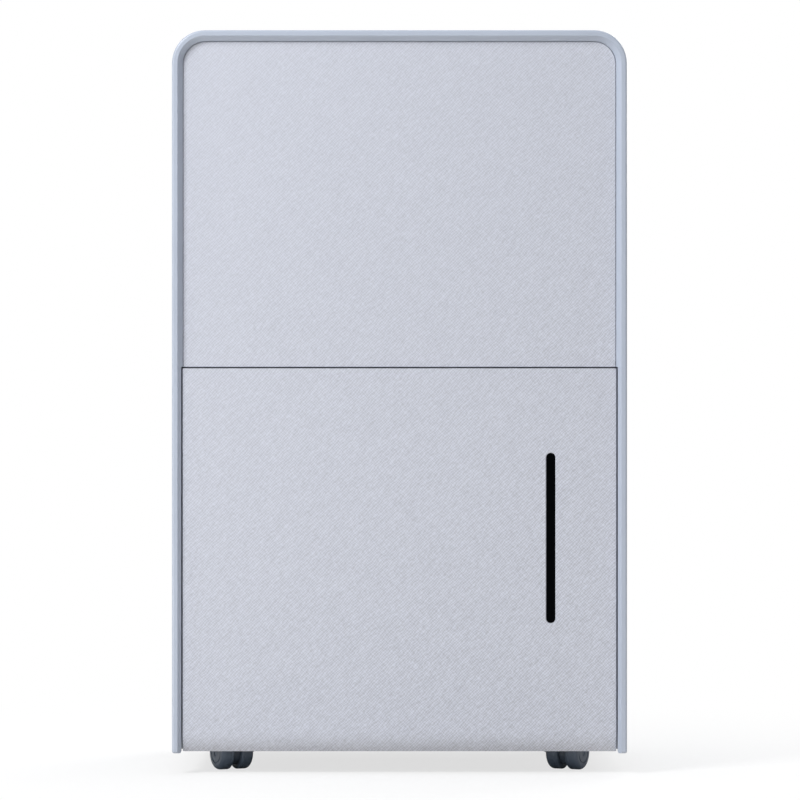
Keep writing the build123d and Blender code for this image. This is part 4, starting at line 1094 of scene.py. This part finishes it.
@dataclass
class CasterWheels:
    """A caster's two domed wheels and their axle, turned as one profile. Sizes are in millimetres."""

    corner: str
    radius: float = 15.0
    width: float = 11.5
    spacing: float = 18.5
    axle: float = 2.5
    shoulder: float = 3.6
    inner_round: float = 1.4
    groove_start: float = 2.6
    groove_slope: float = 0.3
    groove_floor: float = 0.4
    groove_depth: float = 0.3
    steps: int = 64

    def tread(self, inner: float) -> list[Flat]:
        """The wheel's rounded inner edge, then its tread with one shallow groove.

        Args:
            inner: where the wheel starts along the axle.

        Returns:
            Points as (along the axle, radius).
        """
        r = self.inner_round
        points = [
            (inner + r - r * math.cos(math.radians(d)), self.radius - r + r * math.sin(math.radians(d)))
            for d in (30, 60, 90)
        ]
        start = inner + self.groove_start
        low = self.radius - self.groove_depth
        floor_from = start + self.groove_slope
        floor_to = floor_from + self.groove_floor
        points += [(start, self.radius), (floor_from, low)]
        points += [(floor_to, low), (floor_to + self.groove_slope, self.radius)]
        return points

    def dome(self, outer: float) -> list[Flat]:
        """The wheel's rounded shoulder, then its face with a ring groove and a hub recess.

        Args:
            outer: where the wheel ends along the axle.

        Returns:
            Points as (along the axle, radius).
        """
        r = self.shoulder
        points = [
            (outer - r + r * math.sin(math.radians(d)), self.radius - r + r * math.cos(math.radians(d)))
            for d in range(0, 91, 15)
        ]
        ring = [(0.0, 9.8), (0.6, 9.5), (0.6, 8.9), (0.05, 8.5)]
        hub = [(0.0, 6.0), (0.2, 3.6), (0.7, 3.3), (0.7, 0.0)]
        return points + [(outer - depth, radius) for depth, radius in ring + hub]

    def profile(self) -> list[Flat]:
        """Half of the pair's outline as (along the axle, radius), from the middle to the outer end.

        Returns:
            The points.
        """
        inner = self.spacing / 2 - self.width / 2
        web = [(0.0, self.axle), (inner, self.axle), (inner, self.radius - self.inner_round)]
        return web + self.tread(inner) + self.dome(inner + self.width)

    def build(self) -> None:
        """Turns the profile round the axle and puts the pair in place of the frame's plain one."""
        joint = next(j for j in frame["joints"] if j["name"] == f"{self.corner}_wheel_roll")
        half = self.profile()
        whole = [(-x, r) for x, r in reversed(half[1:])] + half
        shape = bmesh.new()
        verts = [shape.verts.new((x * MM, 0.0, r * MM)) for x, r in whole]
        edges = [shape.edges.new(pair) for pair in zip(verts, verts[1:])]
        bmesh.ops.spin(
            shape,
            geom=verts + edges,
            cent=(0.0, 0.0, 0.0),
            axis=(1.0, 0.0, 0.0),
            angle=math.tau,
            steps=self.steps,
            use_merge=True,
        )
        axis = Vector(joint["axis"])
        turn = Matrix.Rotation(math.atan2(axis.y, axis.x), 4, "Z")
        place = Matrix.Translation(Vector(joint["pos_m"])) @ turn
        bmesh.ops.transform(shape, matrix=place, verts=shape.verts)
        body = f"{self.corner}_roller"
        piece = finished_piece(f"wheels_{self.corner}", shape, WHEEL, body, 32.0)
        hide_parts(f"caster_{self.corner}_wheels")


@dataclass
class Casters(SubAssembly):
    """Four swivel casters: nylon forks, and turned wheel pairs in place of the plain ones."""

    corners: tuple[str, ...] = ("front_left", "front_right", "rear_left", "rear_right")

    def pieces(self) -> None:
        """Dresses each fork and turns its wheels."""
        for corner in self.corners:
            dress(f"caster_{corner}_fork", FORK)
            CasterWheels(corner).build()


@dataclass
class Studio:
    """Plain pale floor, soft light and the camera, level with the middle of the front."""

    distance: float = 3.5
    view_width: float = 0.680
    centre_x: float = 0.0004
    centre_z: float = 0.3185
    floor_radius: float = 14.0
    floor_colour: str = "f8f8f8"
    bounce_colour: str = "ebe6dd"

    def floor(self) -> None:
        """A wide pale floor that fades into the background."""
        shape = bmesh.new()
        bmesh.ops.create_circle(shape, cap_ends=True, segments=96, radius=self.floor_radius)
        mesh = bpy.data.meshes.new("floor")
        shape.to_mesh(mesh)
        shape.free()
        material = bpy.data.materials.new("pale_studio_floor")
        material.use_nodes = True
        tree = material.node_tree
        tree.nodes.clear()
        where = add(tree, "ShaderNodeTexCoord")
        far = add(tree, "ShaderNodeVectorMath", links={0: (where, "Object")}, operation="LENGTH")
        fade = add(
            tree,
            "ShaderNodeMapRange",
            {"From Min": 0.1, "From Max": 0.75, "To Min": 0.7, "To Max": 1.0},
            {"Value": (far, "Value")},
            interpolation_type="SMOOTHSTEP",
        )
        ray = add(tree, "ShaderNodeLightPath")
        seen = add(
            tree,
            "ShaderNodeMath",
            links={0: (fade, "Result"), 1: (ray, "Is Camera Ray")},
            operation="MULTIPLY",
        )
        bounce = add(tree, "ShaderNodeBsdfDiffuse", {"Color": linear(self.bounce_colour)})
        pale = add(tree, "ShaderNodeBsdfDiffuse", {"Color": linear(self.floor_colour)})
        near = add(
            tree,
            "ShaderNodeMixShader",
            links={0: (ray, "Is Camera Ray"), 1: (bounce, "BSDF"), 2: (pale, "BSDF")},
        )
        away = add(tree, "ShaderNodeEmission", {"Color": (1.0, 1.0, 1.0, 1.0), "Strength": 1.0})
        mix = add(
            tree,
            "ShaderNodeMixShader",
            links={0: (seen, "Value"), 1: (near, "Shader"), 2: (away, "Emission")},
        )
        add(tree, "ShaderNodeOutputMaterial", links={"Surface": (mix, "Shader")})
        mesh.materials.append(material)
        floor = bpy.data.objects.new("floor", mesh)
        bpy.context.scene.collection.objects.link(floor)

    def camera(self) -> None:
        """A long lens straight in front of the object."""
        lens = bpy.data.cameras.new("camera")
        lens.sensor_width = 36.0
        lens.lens = 36.0 * self.distance / self.view_width
        lens.clip_end = 60.0
        camera = bpy.data.objects.new("camera", lens)
        face = CAD_BOX[0].y
        camera.location = (self.centre_x, face - self.distance, self.centre_z)
        camera.rotation_euler = (math.radians(90.0), 0.0, 0.0)
        bpy.context.scene.collection.objects.link(camera)
        bpy.context.scene.camera = camera

    def softbox(
        self, name: str, place: Point, target: Point, size: Flat, power: float, mirrored: bool = True
    ) -> None:
        """One rectangular area light, not seen itself.

        Args:
            name: the light's name.
            place: where it hangs.
            target: what it points at.
            size: its width and height, in metres.
            power: its power, in watts.
            mirrored: whether glossy surfaces show it.
        """
        light = bpy.data.lights.new(name, "AREA")
        light.shape = "RECTANGLE"
        light.size, light.size_y = size
        light.energy = power
        lamp = bpy.data.objects.new(name, light)
        lamp.location = place
        lamp.rotation_euler = (Vector(target) - Vector(place)).to_track_quat("-Z", "Y").to_euler()
        lamp.visible_camera = False
        lamp.visible_glossy = mirrored
        bpy.context.scene.collection.objects.link(lamp)

    def lights(self) -> None:
        """A key from the upper left, fills behind and above, and an even surround."""
        self.softbox("key", (-1.25, -1.5, 1.75), (-0.05, -0.1, 0.48), (0.7, 0.7), 39.0)
        self.softbox("low", (-0.6, -0.65, 0.08), (-0.12, -0.13, 0.04), (0.25, 0.1), 0.5)
        self.softbox("top", (0.1, 0.4, 2.2), (0.0, 0.0, 0.5), (1.4, 1.4), 12.0, False)
        self.softbox("back", (1.3, 2.2, 1.3), (0.0, 0.1, 0.3), (1.4, 1.4), 40.0)
        world = bpy.data.worlds.new("surround")
        bpy.context.scene.world = world
        world.use_nodes = True
        tree = world.node_tree
        tree.nodes.clear()
        ray = add(tree, "ShaderNodeLightPath")
        lit = add(tree, "ShaderNodeBackground", {"Color": linear("f6f9ff"), "Strength": 0.395})
        seen = add(tree, "ShaderNodeBackground", {"Color": (1.0, 1.0, 1.0, 1.0), "Strength": 1.0})
        mix = add(
            tree,
            "ShaderNodeMixShader",
            links={0: (ray, "Is Camera Ray"), 1: (lit, "Background"), 2: (seen, "Background")},
        )
        add(tree, "ShaderNodeOutputWorld", links={"Surface": (mix, "Shader")})

    def build(self) -> None:
        """Sets up the floor, the camera and the lights."""
        bpy.context.scene.view_settings.view_transform = "Standard"
        self.camera()
        self.floor()
        self.lights()


def main() -> None:
    """Builds every sub-assembly in order."""
    logging.basicConfig(level=logging.INFO, format="%(name)s: %(message)s")
    Studio().build()
    for part in (Front, Cabinet, Bucket, AirPath, CoolingLoop, Casters, Controls):
        LOG.info("building the %s", part.__name__)
        part().build()


if __name__ == "__main__":
    main()
